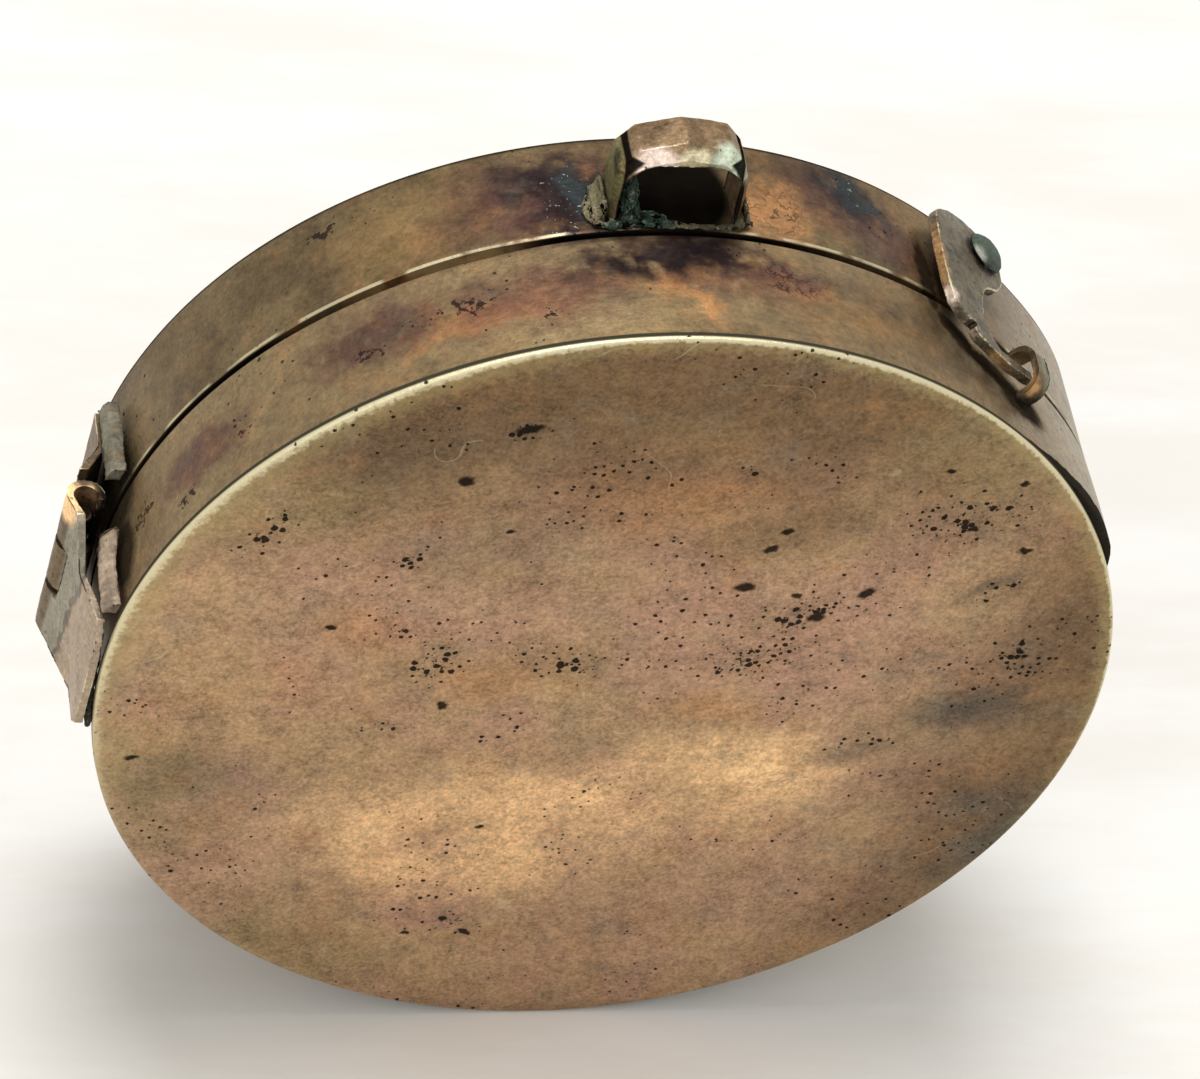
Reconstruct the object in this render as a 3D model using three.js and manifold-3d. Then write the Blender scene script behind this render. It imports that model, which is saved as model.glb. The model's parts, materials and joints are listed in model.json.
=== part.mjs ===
// Round hinged pendant reliquary in hand-worked brass.
// Two shallow drum halves meet at a seam: the lid faces -Y and the body lies behind it.
// A thick bent loop on top hangs the box, a rolled sheet hinge joins the halves on the left,
// and a flat hook on a rivet swings into a small staple on the upper right.
// Units are millimetres. +Z is up through the loop, and the origin is the centre of its eye.

import * as THREE from 'three';
import { mergeVertices } from 'three/addons/utils/BufferGeometryUtils.js';
import Module from 'manifold-3d';

const wasm = await Module();
wasm.setup();

// The drum: a flat disc soldered over the lid's rolled band and another let into the body's
const discRadius = 30;
const discThickness = 0.65;
const discEdgeRound = 0.22;
const bandInset = 0.45;
const bandWall = 0.7;
const bandEdgeBreak = 0.1;
const lidBandDepth = 7.9;
const bodyBandDepth = 7.45;
const seamGap = 0.4;
const innerSolderLeg = 0.6;

// The collar inside the body that the lid slips over
const collarWall = 0.5;
const collarStand = 1.0;
const collarSeat = 2.7;
const collarClearance = 0.3;

// The window and the relic behind it
const boardThickness = 0.95;
const paneThickness = 1.0;
const paneEdgeClearance = 0.3;
const seatRingWall = 0.6;
const seatRingClearance = 0.9;
const springWireRadius = 0.4;
const springGapAngle = THREE.MathUtils.degToRad(24);
const relicBedRadius = 7;
const relicBedThickness = 0.8;
const relicLength = 13;
const relicWidth = 4.6;
const relicThickness = 1.7;

// The suspension loop
const loopWidth = 7.7;
const loopHeight = 5.8;
const loopDepth = 3.6;
const loopFacet = 0.7;
const loopFromSeam = 0.15;
const eyeWidth = 6.7;
const eyeHeight = 4.5;
const eyeCornerRadius = 2.0;
const loopFootSink = 1;
const loopSolderReach = 0.6;
const loopSolderRise = 1.2;
const eyeSolderRise = 2.3;
const eyeSolderReach = 1.3;
const eyeSolderDepth = 2.4;
const eyeSolderSetBack = 0.1;

// The rolled sheet hinge
const hingeAngle = THREE.MathUtils.degToRad(-85.5);
const hingeSheet = 0.55;
const hingeBoreRadius = 0.65;
const pinRadius = 0.6;
const pinRecess = 1.6;
const barrelClearance = 0.3;
const knuckleGap = 0.2;
const hingeWidth = 11;
const bodyLeafFoot = 2.7;
const bodyLeafSlope = 3.4;
const bodyLeafExtra = 0.5;
const lidLeafFoot = 4.3;
const lidLeafSlope = 4.2;
const lidLeafStandOff = 0.45;
const lidLeafFlare = 0.8;
const lidLeafSkew = 1.0;
const lidFootNarrowing = 2.1;
const lidFootCorner = 0.9;
const middleKnuckleWidth = 3.4;
const curlEndAngle = THREE.MathUtils.degToRad(-110);
const leafSolderReach = 1.15;
const leafSolderRise = 0.5;

// The hook, its rivet and the staple that it swings into
const hookAngle = THREE.MathUtils.degToRad(40.95);
const rivetFromBodyDisc = 1.8;
const hookThickness = 0.75;
const hookLength = 8.6;
const hookEdgeBreak = 0.08;
const hookLift = 0.1;
const fingerReach = 2.2;
const fingerWidth = 0.8;
const rivetShankRadius = 0.6;
const rivetHoleClearance = 0.08;
const rivetHeadRadius = 1.4;
const rivetHeadHeight = 0.7;
const rivetBurrRadius = 1.0;
const rivetBurrHeight = 0.35;
const washerRadius = 1.5;
const stapleStrip = 0.5;
const stapleWidth = 1.25;
const stapleOverTip = 0.65;
const stapleClearance = 0.3;
const stapleHeadroom = 0.25;
const stapleRoom = 1.1;
const stapleBendRadius = 1.1;

// How closely fixed pieces sit on curved surfaces, and how finely round forms are divided
const seatGap = 0.15;
const cutOverrun = 2;
const drumSegments = 96;
const smallSegments = 24;

// Sizes that follow from the ones above. Places along the drum are measured from the
// lid disc's inner face, growing towards the body.
const bandRadius = discRadius - bandInset;
const bandInnerRadius = bandRadius - bandWall;
const bodyStart = lidBandDepth + seamGap;
const bodyBack = bodyStart + bodyBandDepth;
const bodyEnd = bodyBack - discThickness;
const seamPlace = lidBandDepth + seamGap / 2;

const collarRadius = bandInnerRadius - collarClearance;
const collarInnerRadius = collarRadius - collarWall;
const collarStart = bodyStart - seamGap - collarStand;
const collarEnd = bodyStart + collarSeat;

const boardStart = bodyEnd - boardThickness;
const seatRingRadius = bandInnerRadius - seatRingClearance;
const paneRadius = collarInnerRadius - paneEdgeClearance;
const paneStart = collarEnd - paneThickness;
const relicBedStart = boardStart - relicBedThickness;

const loopStart = bodyStart + loopFromSeam;
const loopMiddle = loopStart + loopDepth / 2;
const eyeCentreRadius = bandRadius + eyeHeight / 2;

const curlRadius = hingeBoreRadius + hingeSheet / 2;
const leafRadius = bandRadius + seatGap + hingeSheet / 2;
const knuckleRadius = hingeBoreRadius + hingeSheet;
const hingeAxisRadius = bandRadius + barrelClearance + knuckleRadius;
const leafEnd = hingeWidth / 2;
const bodyLeafEnd = leafEnd + bodyLeafExtra;
const knuckleEnd = middleKnuckleWidth / 2;
const lidFootSide = leafEnd - lidFootNarrowing;
const lidShoulder = seamPlace - knuckleRadius - barrelClearance;
const lidCrease = seamPlace - lidLeafSlope;

const rivetPlace = bodyEnd - rivetFromBodyDisc;
const hookInnerRadius = discRadius + hookLift;
const hookOuterRadius = hookInnerRadius + hookThickness;
const rivetHoleRadius = rivetShankRadius + rivetHoleClearance;
const fingerOuter = hookLength + fingerWidth / 2;
const fingerInner = hookLength - fingerWidth / 2;

// Finishes
function finish(colour, roughness, metalness) {
  return new THREE.MeshStandardMaterial({ color: colour, roughness, metalness });
}

const discBrass = finish(0x8a6f48, 0.42, 0.9);
const bandBrass = finish(0x9a8664, 0.45, 0.9);
const loopBrass = finish(0x9c8a5c, 0.4, 0.9);
const fittingBrass = finish(0x8d7a62, 0.42, 0.9);
const wornBrass = finish(0xb9a06a, 0.35, 0.95);
const solderGrey = finish(0x7d7f78, 0.6, 0.7);
const pinBrass = finish(0x6f5f42, 0.5, 0.9);
const rivetGreen = finish(0x5d7266, 0.6, 0.6);
const boardWood = finish(0x6d4a30, 0.8, 0);
const bedWax = finish(0xb98f4c, 0.55, 0);
const relicBone = finish(0xd8c8a4, 0.65, 0);
const paneGlass = new THREE.MeshStandardMaterial({
  color: 0xe6eee8,
  roughness: 0.05,
  metalness: 0,
  transparent: true,
  opacity: 0.35,
});

// Joining and cutting
function solid(geometry) {
  const bare = geometry.index ? geometry.toNonIndexed() : geometry.clone();
  bare.deleteAttribute('normal');
  bare.deleteAttribute('uv');
  const merged = mergeVertices(bare);
  return new wasm.Manifold(new wasm.Mesh({
    numProp: 3,
    vertProperties: merged.attributes.position.array,
    triVerts: Uint32Array.from(merged.index.array),
  }));
}

function geometryOf(manifold) {
  const mesh = manifold.getMesh();
  const geometry = new THREE.BufferGeometry();
  geometry.setAttribute('position', new THREE.BufferAttribute(mesh.vertProperties, mesh.numProp));
  geometry.setIndex(new THREE.BufferAttribute(mesh.triVerts, 1));
  const faceted = geometry.toNonIndexed();
  faceted.computeVertexNormals();
  return faceted;
}

function cut(geometry, ...tools) {
  const rest = tools.reduce((left, tool) => left.subtract(solid(tool)), solid(geometry));
  return geometryOf(rest);
}

function common(first, second) {
  return geometryOf(solid(first).intersect(solid(second)));
}

// Forms turned and extruded along the drum's own directions.
// On the band, X runs along the rim, Y from lid to body, and Z outwards from the drum's axis.
function turned(profile, segments = drumSegments) {
  const points = profile.map(([radius, place]) => new THREE.Vector2(radius, place));
  return new THREE.LatheGeometry(points, segments);
}

function turnedOutwards(profile) {
  return turned(profile, smallSegments).rotateX(Math.PI / 2);
}

function ringProfile(inner, outer, start, end) {
  return [[inner, start], [outer, start], [outer, end], [inner, end], [inner, start]];
}

function extrudeOutwards(shape, from, to, bevel = 0) {
  const geometry = new THREE.ExtrudeGeometry(shape, {
    depth: to - from - 2 * bevel,
    bevelEnabled: bevel > 0,
    bevelThickness: bevel,
    bevelSize: bevel,
    bevelOffset: -bevel,
    bevelSegments: 1,
    curveSegments: 8,
  });
  return geometry.translate(0, 0, from + bevel);
}

function extrudeTowardsBody(shape, from, to, bevel = 0) {
  const depth = to - from;
  return extrudeOutwards(shape, 0, depth, bevel).rotateX(Math.PI / 2).translate(0, to, 0);
}

function extrudeAlongRim(shape, from, to) {
  const axes = new THREE.Matrix4().makeBasis(
    new THREE.Vector3(0, 1, 0),
    new THREE.Vector3(0, 0, 1),
    new THREE.Vector3(1, 0, 0),
  );
  return extrudeOutwards(shape, from, to).applyMatrix4(axes);
}

function polygon(points) {
  return new THREE.Shape(points.map(([x, y]) => new THREE.Vector2(x, y)));
}

// A solid rod round the drum's axis, which shapes the foot of whatever is soldered to a band
function bandRod(radius = bandRadius + seatGap) {
  return turned([
    [0, -cutOverrun],
    [radius, -cutOverrun],
    [radius, bodyEnd + cutOverrun],
    [0, bodyEnd + cutOverrun],
  ]);
}

// The outline of a sheet strip of one thickness bent along a middle line of points
function bentStrip(points, thickness) {
  const half = thickness / 2;
  const left = [];
  const right = [];
  points.forEach((point, index) => {
    const before = points[Math.max(index - 1, 0)];
    const after = points[Math.min(index + 1, points.length - 1)];
    const arriving = index > 0 ? point.clone().sub(before) : after.clone().sub(point);
    const leaving = index < points.length - 1 ? after.clone().sub(point) : arriving.clone();
    arriving.normalize();
    leaving.normalize();
    const along = arriving.clone().add(leaving).normalize();
    const across = new THREE.Vector2(-along.y, along.x);
    const reach = half / along.dot(arriving);
    left.push(point.clone().addScaledVector(across, reach));
    right.push(point.clone().addScaledVector(across, -reach));
  });
  return new THREE.Shape([...right, ...left.reverse()]);
}

function arcPoints(centre, radius, fromAngle, toAngle, steps) {
  return Array.from({ length: steps + 1 }, (unused, step) => {
    const angle = fromAngle + (toAngle - fromAngle) * step / steps;
    return new THREE.Vector2(
      centre.x + radius * Math.cos(angle),
      centre.y + radius * Math.sin(angle),
    );
  });
}

// Discs and bands
function discProfile(radius, innerPlace, outerPlace) {
  const towardsOutside = Math.sign(outerPlace - innerPlace);
  const roundSteps = 3;
  const edge = arcPoints(
    new THREE.Vector2(radius - discEdgeRound, outerPlace - towardsOutside * discEdgeRound),
    discEdgeRound,
    towardsOutside * Math.PI / 2,
    0,
    roundSteps,
  ).map((point) => [point.x, point.y]);
  const profile = [[0, outerPlace], ...edge, [radius, innerPlace], [0, innerPlace]];
  return towardsOutside < 0 ? profile : profile.reverse();
}

function bandProfile(start, end) {
  const inner = bandInnerRadius;
  const outer = bandRadius;
  return [
    [inner, start],
    [outer - bandEdgeBreak, start],
    [outer, start + bandEdgeBreak],
    [outer, end - bandEdgeBreak],
    [outer - bandEdgeBreak, end],
    [inner, end],
    [inner, start],
  ];
}

function cornerSolderProfile(discPlace, towardsMiddle) {
  const outer = bandInnerRadius - seatGap;
  const inner = outer - innerSolderLeg;
  const far = discPlace + towardsMiddle * innerSolderLeg;
  const corner = [outer, discPlace];
  const profile = [[inner, discPlace], corner, [outer, far], [inner, discPlace]];
  return towardsMiddle > 0 ? profile : profile.reverse();
}

function bodyBand() {
  const rivetHole = turnedOutwards([
    [0, bandInnerRadius - cutOverrun],
    [rivetHoleRadius, bandInnerRadius - cutOverrun],
    [rivetHoleRadius, bandRadius + cutOverrun],
    [0, bandRadius + cutOverrun],
  ]);
  rivetHole.translate(0, rivetPlace, 0).rotateY(hookAngle);
  return cut(turned(bandProfile(bodyStart, bodyBack)), rivetHole);
}

function innerCollar() {
  const lead = bandEdgeBreak;
  return turned([
    [collarInnerRadius, collarStart],
    [collarRadius - lead, collarStart],
    [collarRadius, collarStart + lead],
    [collarRadius, collarEnd],
    [collarInnerRadius, collarEnd],
    [collarInnerRadius, collarStart],
  ]);
}

// The relic, its board and the glass that covers it
function relicBoard() {
  return turned([[0, boardStart], [seatRingRadius, boardStart], [seatRingRadius, bodyEnd], [0, bodyEnd]]);
}

function seatRing() {
  return turned(ringProfile(seatRingRadius - seatRingWall, seatRingRadius, collarEnd, boardStart));
}

function glassPane() {
  return turned([[0, paneStart], [paneRadius, paneStart], [paneRadius, collarEnd], [0, collarEnd]]);
}

function springRing() {
  const wireRingRadius = paneRadius - springWireRadius;
  const wire = new THREE.Shape().absarc(0, 0, springWireRadius, 0, 2 * Math.PI);
  const path = new THREE.CatmullRomCurve3(arcPoints(
    new THREE.Vector2(0, 0),
    wireRingRadius,
    Math.PI / 2 + springGapAngle / 2,
    Math.PI / 2 + 2 * Math.PI - springGapAngle / 2,
    drumSegments / 2,
  ).map((point) => new THREE.Vector3(point.x, paneStart - springWireRadius - seatGap, point.y)));
  return new THREE.ExtrudeGeometry(wire, {
    extrudePath: path,
    steps: drumSegments,
    curveSegments: 4,
    bevelEnabled: false,
  });
}

function relicBed() {
  const crownShare = 0.45;
  const shoulderShare = 0.86;
  const crown = relicBedStart;
  const shoulder = boardStart - relicBedThickness * crownShare;
  return turned([
    [0, crown],
    [relicBedRadius * shoulderShare, crown],
    [relicBedRadius, shoulder],
    [relicBedRadius, boardStart],
    [0, boardStart],
  ], smallSegments * 2);
}

function relicFragment() {
  // Radius of the splinter as a share of its half width, along its length
  const boneShares = [
    [0, -0.5],
    [0.55, -0.48],
    [0.98, -0.34],
    [0.8, -0.1],
    [0.72, 0.12],
    [1, 0.36],
    [0.5, 0.49],
    [0, 0.5],
  ];
  const halfWidth = relicWidth / 2;
  const profile = boneShares.map(([radiusShare, lengthShare]) => [
    radiusShare * halfWidth,
    lengthShare * relicLength,
  ]);
  const flattening = relicThickness / relicWidth;
  const lean = THREE.MathUtils.degToRad(62);
  return turned(profile, smallSegments)
    .scale(1, 1, flattening)
    .rotateX(Math.PI / 2)
    .rotateY(lean)
    .translate(0, relicBedStart - relicThickness / 2, 0);
}

// The loop: a thick hammered band of brass bent over and soldered down by its two feet
function suspensionLoop() {
  // The left side stands a little prouder than the right, as filed by hand
  const outlineShares = [
    [0.5, 0],
    [0.5, 0.5],
    [0.455, 0.72],
    [0.33, 0.93],
    [-0.02, 1],
    [-0.36, 0.88],
    [-0.49, 0.66],
    [-0.5, 0.4],
    [-0.5, 0],
  ];
  const outline = outlineShares.map(([widthShare, heightShare]) => [
    widthShare * loopWidth,
    bandRadius + heightShare * loopHeight,
  ]);
  outline[0][1] -= loopFootSink;
  outline[outline.length - 1][1] -= loopFootSink;
  const block = extrudeTowardsBody(polygon(outline), loopStart, loopStart + loopDepth, loopFacet);

  const side = eyeWidth / 2;
  const top = bandRadius + eyeHeight;
  const eye = new THREE.Shape();
  eye.moveTo(-side, bandRadius - loopFootSink - cutOverrun);
  eye.lineTo(side, bandRadius - loopFootSink - cutOverrun);
  eye.lineTo(side, top - eyeCornerRadius);
  eye.absarc(side - eyeCornerRadius, top - eyeCornerRadius, eyeCornerRadius, 0, Math.PI / 2);
  eye.absarc(eyeCornerRadius - side, top - eyeCornerRadius, eyeCornerRadius, Math.PI / 2, Math.PI);
  eye.closePath();
  const eyeTool = extrudeTowardsBody(eye, loopStart - cutOverrun, loopStart + loopDepth + cutOverrun);
  return cut(block, eyeTool, bandRod());
}

function loopSolder(side) {
  const hollowShare = 0.3;
  const inner = loopWidth / 2 + seatGap;
  const shape = new THREE.Shape();
  shape.moveTo(side * inner, bandRadius - loopFootSink);
  shape.lineTo(side * (inner + loopSolderReach), bandRadius - loopFootSink);
  shape.lineTo(side * (inner + loopSolderReach), bandRadius + seatGap);
  shape.quadraticCurveTo(
    side * (inner + loopSolderReach * hollowShare),
    bandRadius + loopSolderRise * hollowShare,
    side * inner,
    bandRadius + loopSolderRise,
  );
  shape.closePath();
  const fillet = extrudeTowardsBody(shape, loopStart + loopFacet / 2, loopStart + loopDepth - loopFacet / 2);
  return cut(fillet, bandRod());
}

// The solder that climbs the left side inside the eye and leaves the rest of it free
function eyeSolder() {
  const wedgeShares = [[0, 1], [0.3, 0.75], [0.7, 0.3], [1, 0.08]];
  const wall = seatGap - eyeWidth / 2;
  const foot = bandRadius - loopFootSink;
  const outline = wedgeShares.map(([reachShare, riseShare]) => [
    wall + reachShare * eyeSolderReach,
    bandRadius + seatGap + riseShare * eyeSolderRise,
  ]);
  const start = loopStart + eyeSolderSetBack;
  const block = polygon([[wall + eyeSolderReach, foot], [wall, foot], ...outline]);
  return cut(extrudeTowardsBody(block, start, start + eyeSolderDepth), bandRod());
}

// The hinge: two sheet leaves whose tongues roll round one pin over the seam.
// A leaf's middle line runs flat along the band, slopes out to the barrel and curls over the pin.
function leafMiddleLine(direction, foot, slope, standOff) {
  const curlSteps = 12;
  const bend = new THREE.Vector2(seamPlace + direction * slope, leafRadius + standOff);
  const axis = new THREE.Vector2(seamPlace, hingeAxisRadius);
  const away = bend.clone().sub(axis);
  const bendAngle = Math.atan2(away.y, direction * away.x);
  const tangentAngle = bendAngle + Math.acos(curlRadius / away.length());
  const lastAngle = Math.PI - curlEndAngle;
  const curl = arcPoints(new THREE.Vector2(0, 0), curlRadius, tangentAngle, lastAngle, curlSteps);
  const end = new THREE.Vector2(bend.x + direction * foot, bend.y);
  return [end, bend, ...curl.map((point) => new THREE.Vector2(
    axis.x + direction * point.x,
    axis.y + point.y,
  ))];
}

function hingeLeaf(direction, foot, slope, standOff, outline) {
  const line = leafMiddleLine(direction, foot, slope, standOff);
  const strip = bentStrip(line, hingeSheet);
  const rolled = extrudeAlongRim(strip, -hingeWidth, hingeWidth);
  const blankTop = hingeAxisRadius + knuckleRadius + cutOverrun;
  const blank = extrudeOutwards(outline, bandRadius - cutOverrun, blankTop);
  return common(rolled, blank);
}

// The body leaf keeps one tongue in the middle; its shoulders stop short of the lid's knuckles
function hingeLeafBody() {
  const near = seamPlace - knuckleRadius - cutOverrun;
  const shoulder = seamPlace + knuckleRadius + barrelClearance;
  const far = seamPlace + bodyLeafSlope + bodyLeafFoot + cutOverrun;
  return hingeLeaf(1, bodyLeafFoot, bodyLeafSlope, 0, polygon([
    [-knuckleEnd, near],
    [knuckleEnd, near],
    [knuckleEnd, shoulder],
    [bodyLeafEnd, shoulder],
    [bodyLeafEnd, far],
    [-leafEnd, far],
    [-leafEnd, shoulder],
    [-knuckleEnd, shoulder],
  ]));
}

// The lid leaf is notched round the body's tongue and narrows at the top towards its foot
function hingeLeafLid() {
  const near = seamPlace + knuckleRadius + cutOverrun;
  const far = lidCrease - lidLeafFoot;
  const notch = knuckleEnd + knuckleGap;
  const leaf = hingeLeaf(-1, lidLeafFoot + cutOverrun, lidLeafSlope, lidLeafStandOff, polygon([
    [-leafEnd, near],
    [-notch, near],
    [-notch, lidShoulder],
    [notch, lidShoulder],
    [notch, near],
    [leafEnd, near],
    [leafEnd, lidShoulder],
    [lidFootSide, lidCrease],
    [lidFootSide, far + lidFootCorner],
    [lidFootSide - lidFootCorner, far],
    [lidFootCorner - leafEnd, far],
    [-leafEnd, far + lidFootCorner],
  ]));
  return flared(leaf);
}

// Bends the upper end of the lid leaf's crease outwards and draws its lower end towards the disc
function flared(geometry) {
  const places = geometry.attributes.position;
  for (let index = 0; index < places.count; index += 1) {
    const onCrease = Math.abs(places.getY(index) - lidCrease) < hingeSheet / 2;
    const atUpperEnd = Math.abs(places.getX(index) - lidFootSide) < hingeSheet / 2;
    const atLowerEnd = Math.abs(places.getX(index) + leafEnd) < hingeSheet / 2;
    if (onCrease && atUpperEnd) places.setZ(index, places.getZ(index) + lidLeafFlare);
    if (onCrease && atLowerEnd) places.setY(index, places.getY(index) - lidLeafSkew);
  }
  geometry.computeVertexNormals();
  return geometry;
}

// Solder run along a leaf's edge, down onto the band that falls away from the flat sheet
function leafSolder(edge, standOff, from, to) {
  const inner = edge + seatGap;
  const low = bandRadius - loopFootSink;
  const rise = standOff + leafSolderRise;
  const crestShares = [[1, 0.1], [0.72, 0.6], [0.35, 0.92], [0, 1]];
  const crest = crestShares.map(([reachShare, riseShare]) => [
    inner + reachShare * leafSolderReach,
    bandRadius + seatGap + riseShare * rise,
  ]);
  const outline = polygon([[inner, low], [inner + leafSolderReach, low], ...crest]);
  return cut(extrudeTowardsBody(outline, from, to), bandRod());
}

// The lid leaf's solder turns with the leaf's slanting edge towards the barrel
function lidLeafSolder() {
  const upperShare = 0.6;
  const slope = lidShoulder - lidCrease;
  const start = lidCrease - lidLeafFoot + lidFootCorner;
  const straight = leafSolder(lidFootSide, lidLeafStandOff, start, lidCrease);
  const slant = new THREE.Matrix4().makeShear(0, 0, lidFootNarrowing / slope, 0, 0, 0);
  const slanting = leafSolder(lidFootSide, lidLeafStandOff, lidCrease, lidCrease + slope * upperShare)
    .translate(0, -lidCrease, 0)
    .applyMatrix4(slant)
    .translate(0, lidCrease, 0);
  return geometryOf(solid(straight).add(solid(cut(slanting, bandRod()))));
}

function hingePin() {
  const length = hingeWidth - 2 * pinRecess;
  return new THREE.CylinderGeometry(pinRadius, pinRadius, length, smallSegments)
    .rotateZ(Math.PI / 2)
    .translate(0, seamPlace, hingeAxisRadius);
}

// The hook, drawn flat in its own plane: X along the rim, Y towards the body, rivet at 0, 0.
// Its places are shares of the length from the rivet to the finger, across the arm and then
// down it. Each curve has a control place and an end place.
function hookShape() {
  const backTopShares = [-0.525, -0.035];
  const headAndArmShares = [
    [[-0.49, -0.19], [-0.22, -0.23]],
    [[0.15, -0.26], [0.21, -0.035]],
    [[0.22, 0.19], [0.06, 0.31]],
    [[-0.12, 0.36], [-0.174, 0.56]],
    [[-0.22, 0.76], [-0.184, 0.89]],
  ];
  const heelShares = [[-0.385, 0.985], [-0.39, 0.915]];
  const notchShares = [[-0.345, 0.875], [-0.425, 0.888]];
  const cornerShares = [-0.575, 0.79];
  const backShares = [[-0.6, 0.41], backTopShares];
  const tipAngle = Math.asin(fingerReach / hookLength) - Math.PI / 2;
  const heelAngle = THREE.MathUtils.degToRad(-106);
  const armAngle = THREE.MathUtils.degToRad(-96);

  const at = ([acrossShare, downShare]) => [acrossShare * hookLength, -downShare * hookLength];
  const shape = new THREE.Shape();
  const curveTo = ([control, end]) => shape.quadraticCurveTo(...at(control), ...at(end));
  shape.moveTo(...at(backTopShares));
  headAndArmShares.forEach(curveTo);
  shape.absarc(0, 0, fingerInner, armAngle, tipAngle, false);
  shape.absarc(0, 0, fingerOuter, tipAngle, heelAngle, true);
  curveTo(heelShares);
  notchShares.forEach((place) => shape.lineTo(...at(place)));
  shape.lineTo(...at(cornerShares));
  curveTo(backShares);
  return shape;
}

function latchHook() {
  const shape = hookShape();
  shape.holes.push(new THREE.Path().absarc(0, 0, rivetHoleRadius, 0, 2 * Math.PI, false));
  return extrudeOutwards(shape, hookInnerRadius, hookOuterRadius, hookEdgeBreak);
}

// The rivet through hook, washer and band: a domed head outside, spread flat inside
function hookRivet() {
  const burrOuter = bandInnerRadius - seatGap;
  const headUnderside = hookOuterRadius + hookLift;
  const dome = arcPoints(new THREE.Vector2(0, 0), 1, 0, Math.PI / 2, 4).map((point) => [
    point.x * rivetHeadRadius,
    headUnderside + point.y * rivetHeadHeight,
  ]);
  return turnedOutwards([
    [0, burrOuter - rivetBurrHeight],
    [rivetBurrRadius, burrOuter - rivetBurrHeight],
    [rivetBurrRadius, burrOuter],
    [rivetShankRadius, burrOuter],
    [rivetShankRadius, headUnderside],
    ...dome.slice(0, -1),
    [0, headUnderside + rivetHeadHeight],
  ]);
}

// The washer that holds the flat hook clear of the round band and the lid disc's standing rim
function hookWasher() {
  const outer = hookInnerRadius - hookLift;
  const ring = turnedOutwards(ringProfile(rivetHoleRadius, washerRadius, bandInnerRadius, outer));
  return cut(ring, bandRod().translate(0, -rivetPlace, 0));
}

// The staple: a strip bent into an arch that stands over the hook's finger
function latchStaple() {
  const half = stapleStrip / 2;
  const end = fingerReach + stapleOverTip;
  const start = end - stapleWidth;
  const fingerLow = rivetPlace - Math.sqrt(fingerOuter ** 2 - start ** 2);
  const fingerHigh = rivetPlace - Math.sqrt(fingerInner ** 2 - end ** 2);
  const low = fingerLow - stapleClearance - half;
  const high = fingerHigh + stapleRoom + half;
  const crest = hookOuterRadius + stapleHeadroom + half;
  const bend = stapleBendRadius;
  const bendSteps = 5;
  const line = [
    new THREE.Vector2(low, bandInnerRadius),
    ...arcPoints(new THREE.Vector2(low + bend, crest - bend), bend, Math.PI, Math.PI / 2, bendSteps),
    ...arcPoints(new THREE.Vector2(high - bend, crest - bend), bend, Math.PI / 2, 0, bendSteps),
    new THREE.Vector2(high, bandInnerRadius),
  ];
  return cut(extrudeAlongRim(bentStrip(line, stapleStrip), start, end), bandRod());
}

// Assembly. Everything on a band is built at its top and turned round the drum to its place.
const reliquary = new THREE.Group();
const drum = new THREE.Group();
drum.position.set(0, -loopMiddle, -eyeCentreRadius);
reliquary.add(drum);

function add(parent, name, geometry, material) {
  const mesh = new THREE.Mesh(geometry, material);
  mesh.name = name;
  parent.add(mesh);
  return mesh;
}

function placeOnRim(angle) {
  const group = new THREE.Group();
  group.rotation.y = angle;
  drum.add(group);
  return group;
}

add(drum, 'body_plate', turned(discProfile(bandInnerRadius - seatGap, bodyEnd, bodyBack)), discBrass);
add(drum, 'body_band', bodyBand(), bandBrass);
add(drum, 'body_plate_solder', turned(cornerSolderProfile(bodyEnd, -1)), solderGrey);
add(drum, 'inner_collar', innerCollar(), wornBrass);
add(drum, 'relic_board', relicBoard(), boardWood);
add(drum, 'relic_bed', relicBed(), bedWax);
add(drum, 'relic_fragment', relicFragment(), relicBone);
add(drum, 'pane_seat_ring', seatRing(), wornBrass);
add(drum, 'glass_pane', glassPane(), paneGlass);
add(drum, 'pane_spring_ring', springRing(), wornBrass);
add(drum, 'suspension_loop', suspensionLoop(), loopBrass);
add(drum, 'loop_solder_left', loopSolder(-1), solderGrey);
add(drum, 'loop_solder_right', loopSolder(1), solderGrey);
add(drum, 'loop_solder_eye', eyeSolder(), solderGrey);

add(drum, 'lid_plate', turned(discProfile(discRadius, 0, -discThickness)), discBrass);
add(drum, 'lid_band', turned(bandProfile(0, lidBandDepth)), bandBrass);
add(drum, 'lid_plate_solder', turned(cornerSolderProfile(0, 1)), solderGrey);

const hinge = placeOnRim(hingeAngle);
const bodySolderStart = bodyStart + bandEdgeBreak;
const bodyLeafFar = seamPlace + bodyLeafSlope + bodyLeafFoot;
add(hinge, 'hinge_leaf_body', hingeLeafBody(), fittingBrass);
add(hinge, 'hinge_body_solder', leafSolder(bodyLeafEnd, 0, bodySolderStart, bodyLeafFar), solderGrey);
add(hinge, 'hinge_leaf_lid', hingeLeafLid(), fittingBrass);
add(hinge, 'hinge_lid_solder', lidLeafSolder(), solderGrey);
add(hinge, 'hinge_pin', hingePin(), pinBrass);

const latch = placeOnRim(hookAngle);
const pivot = new THREE.Group();
pivot.position.y = rivetPlace;
latch.add(pivot);
add(pivot, 'hook_rivet', hookRivet(), rivetGreen);
add(pivot, 'hook_washer', hookWasher(), pinBrass);
add(pivot, 'latch_hook', latchHook(), fittingBrass);
add(latch, 'latch_staple', latchStaple(), fittingBrass);

export default reliquary;
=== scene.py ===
"""A hand-made brass pendant reliquary: its worn sheet metal, solder, hinge, latch and inside."""

import json
import math

import bmesh
import bpy
import numpy as np
from bpy.props import FloatProperty, FloatVectorProperty, IntProperty, PointerProperty
from mathutils import Matrix, Vector, noise


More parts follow.
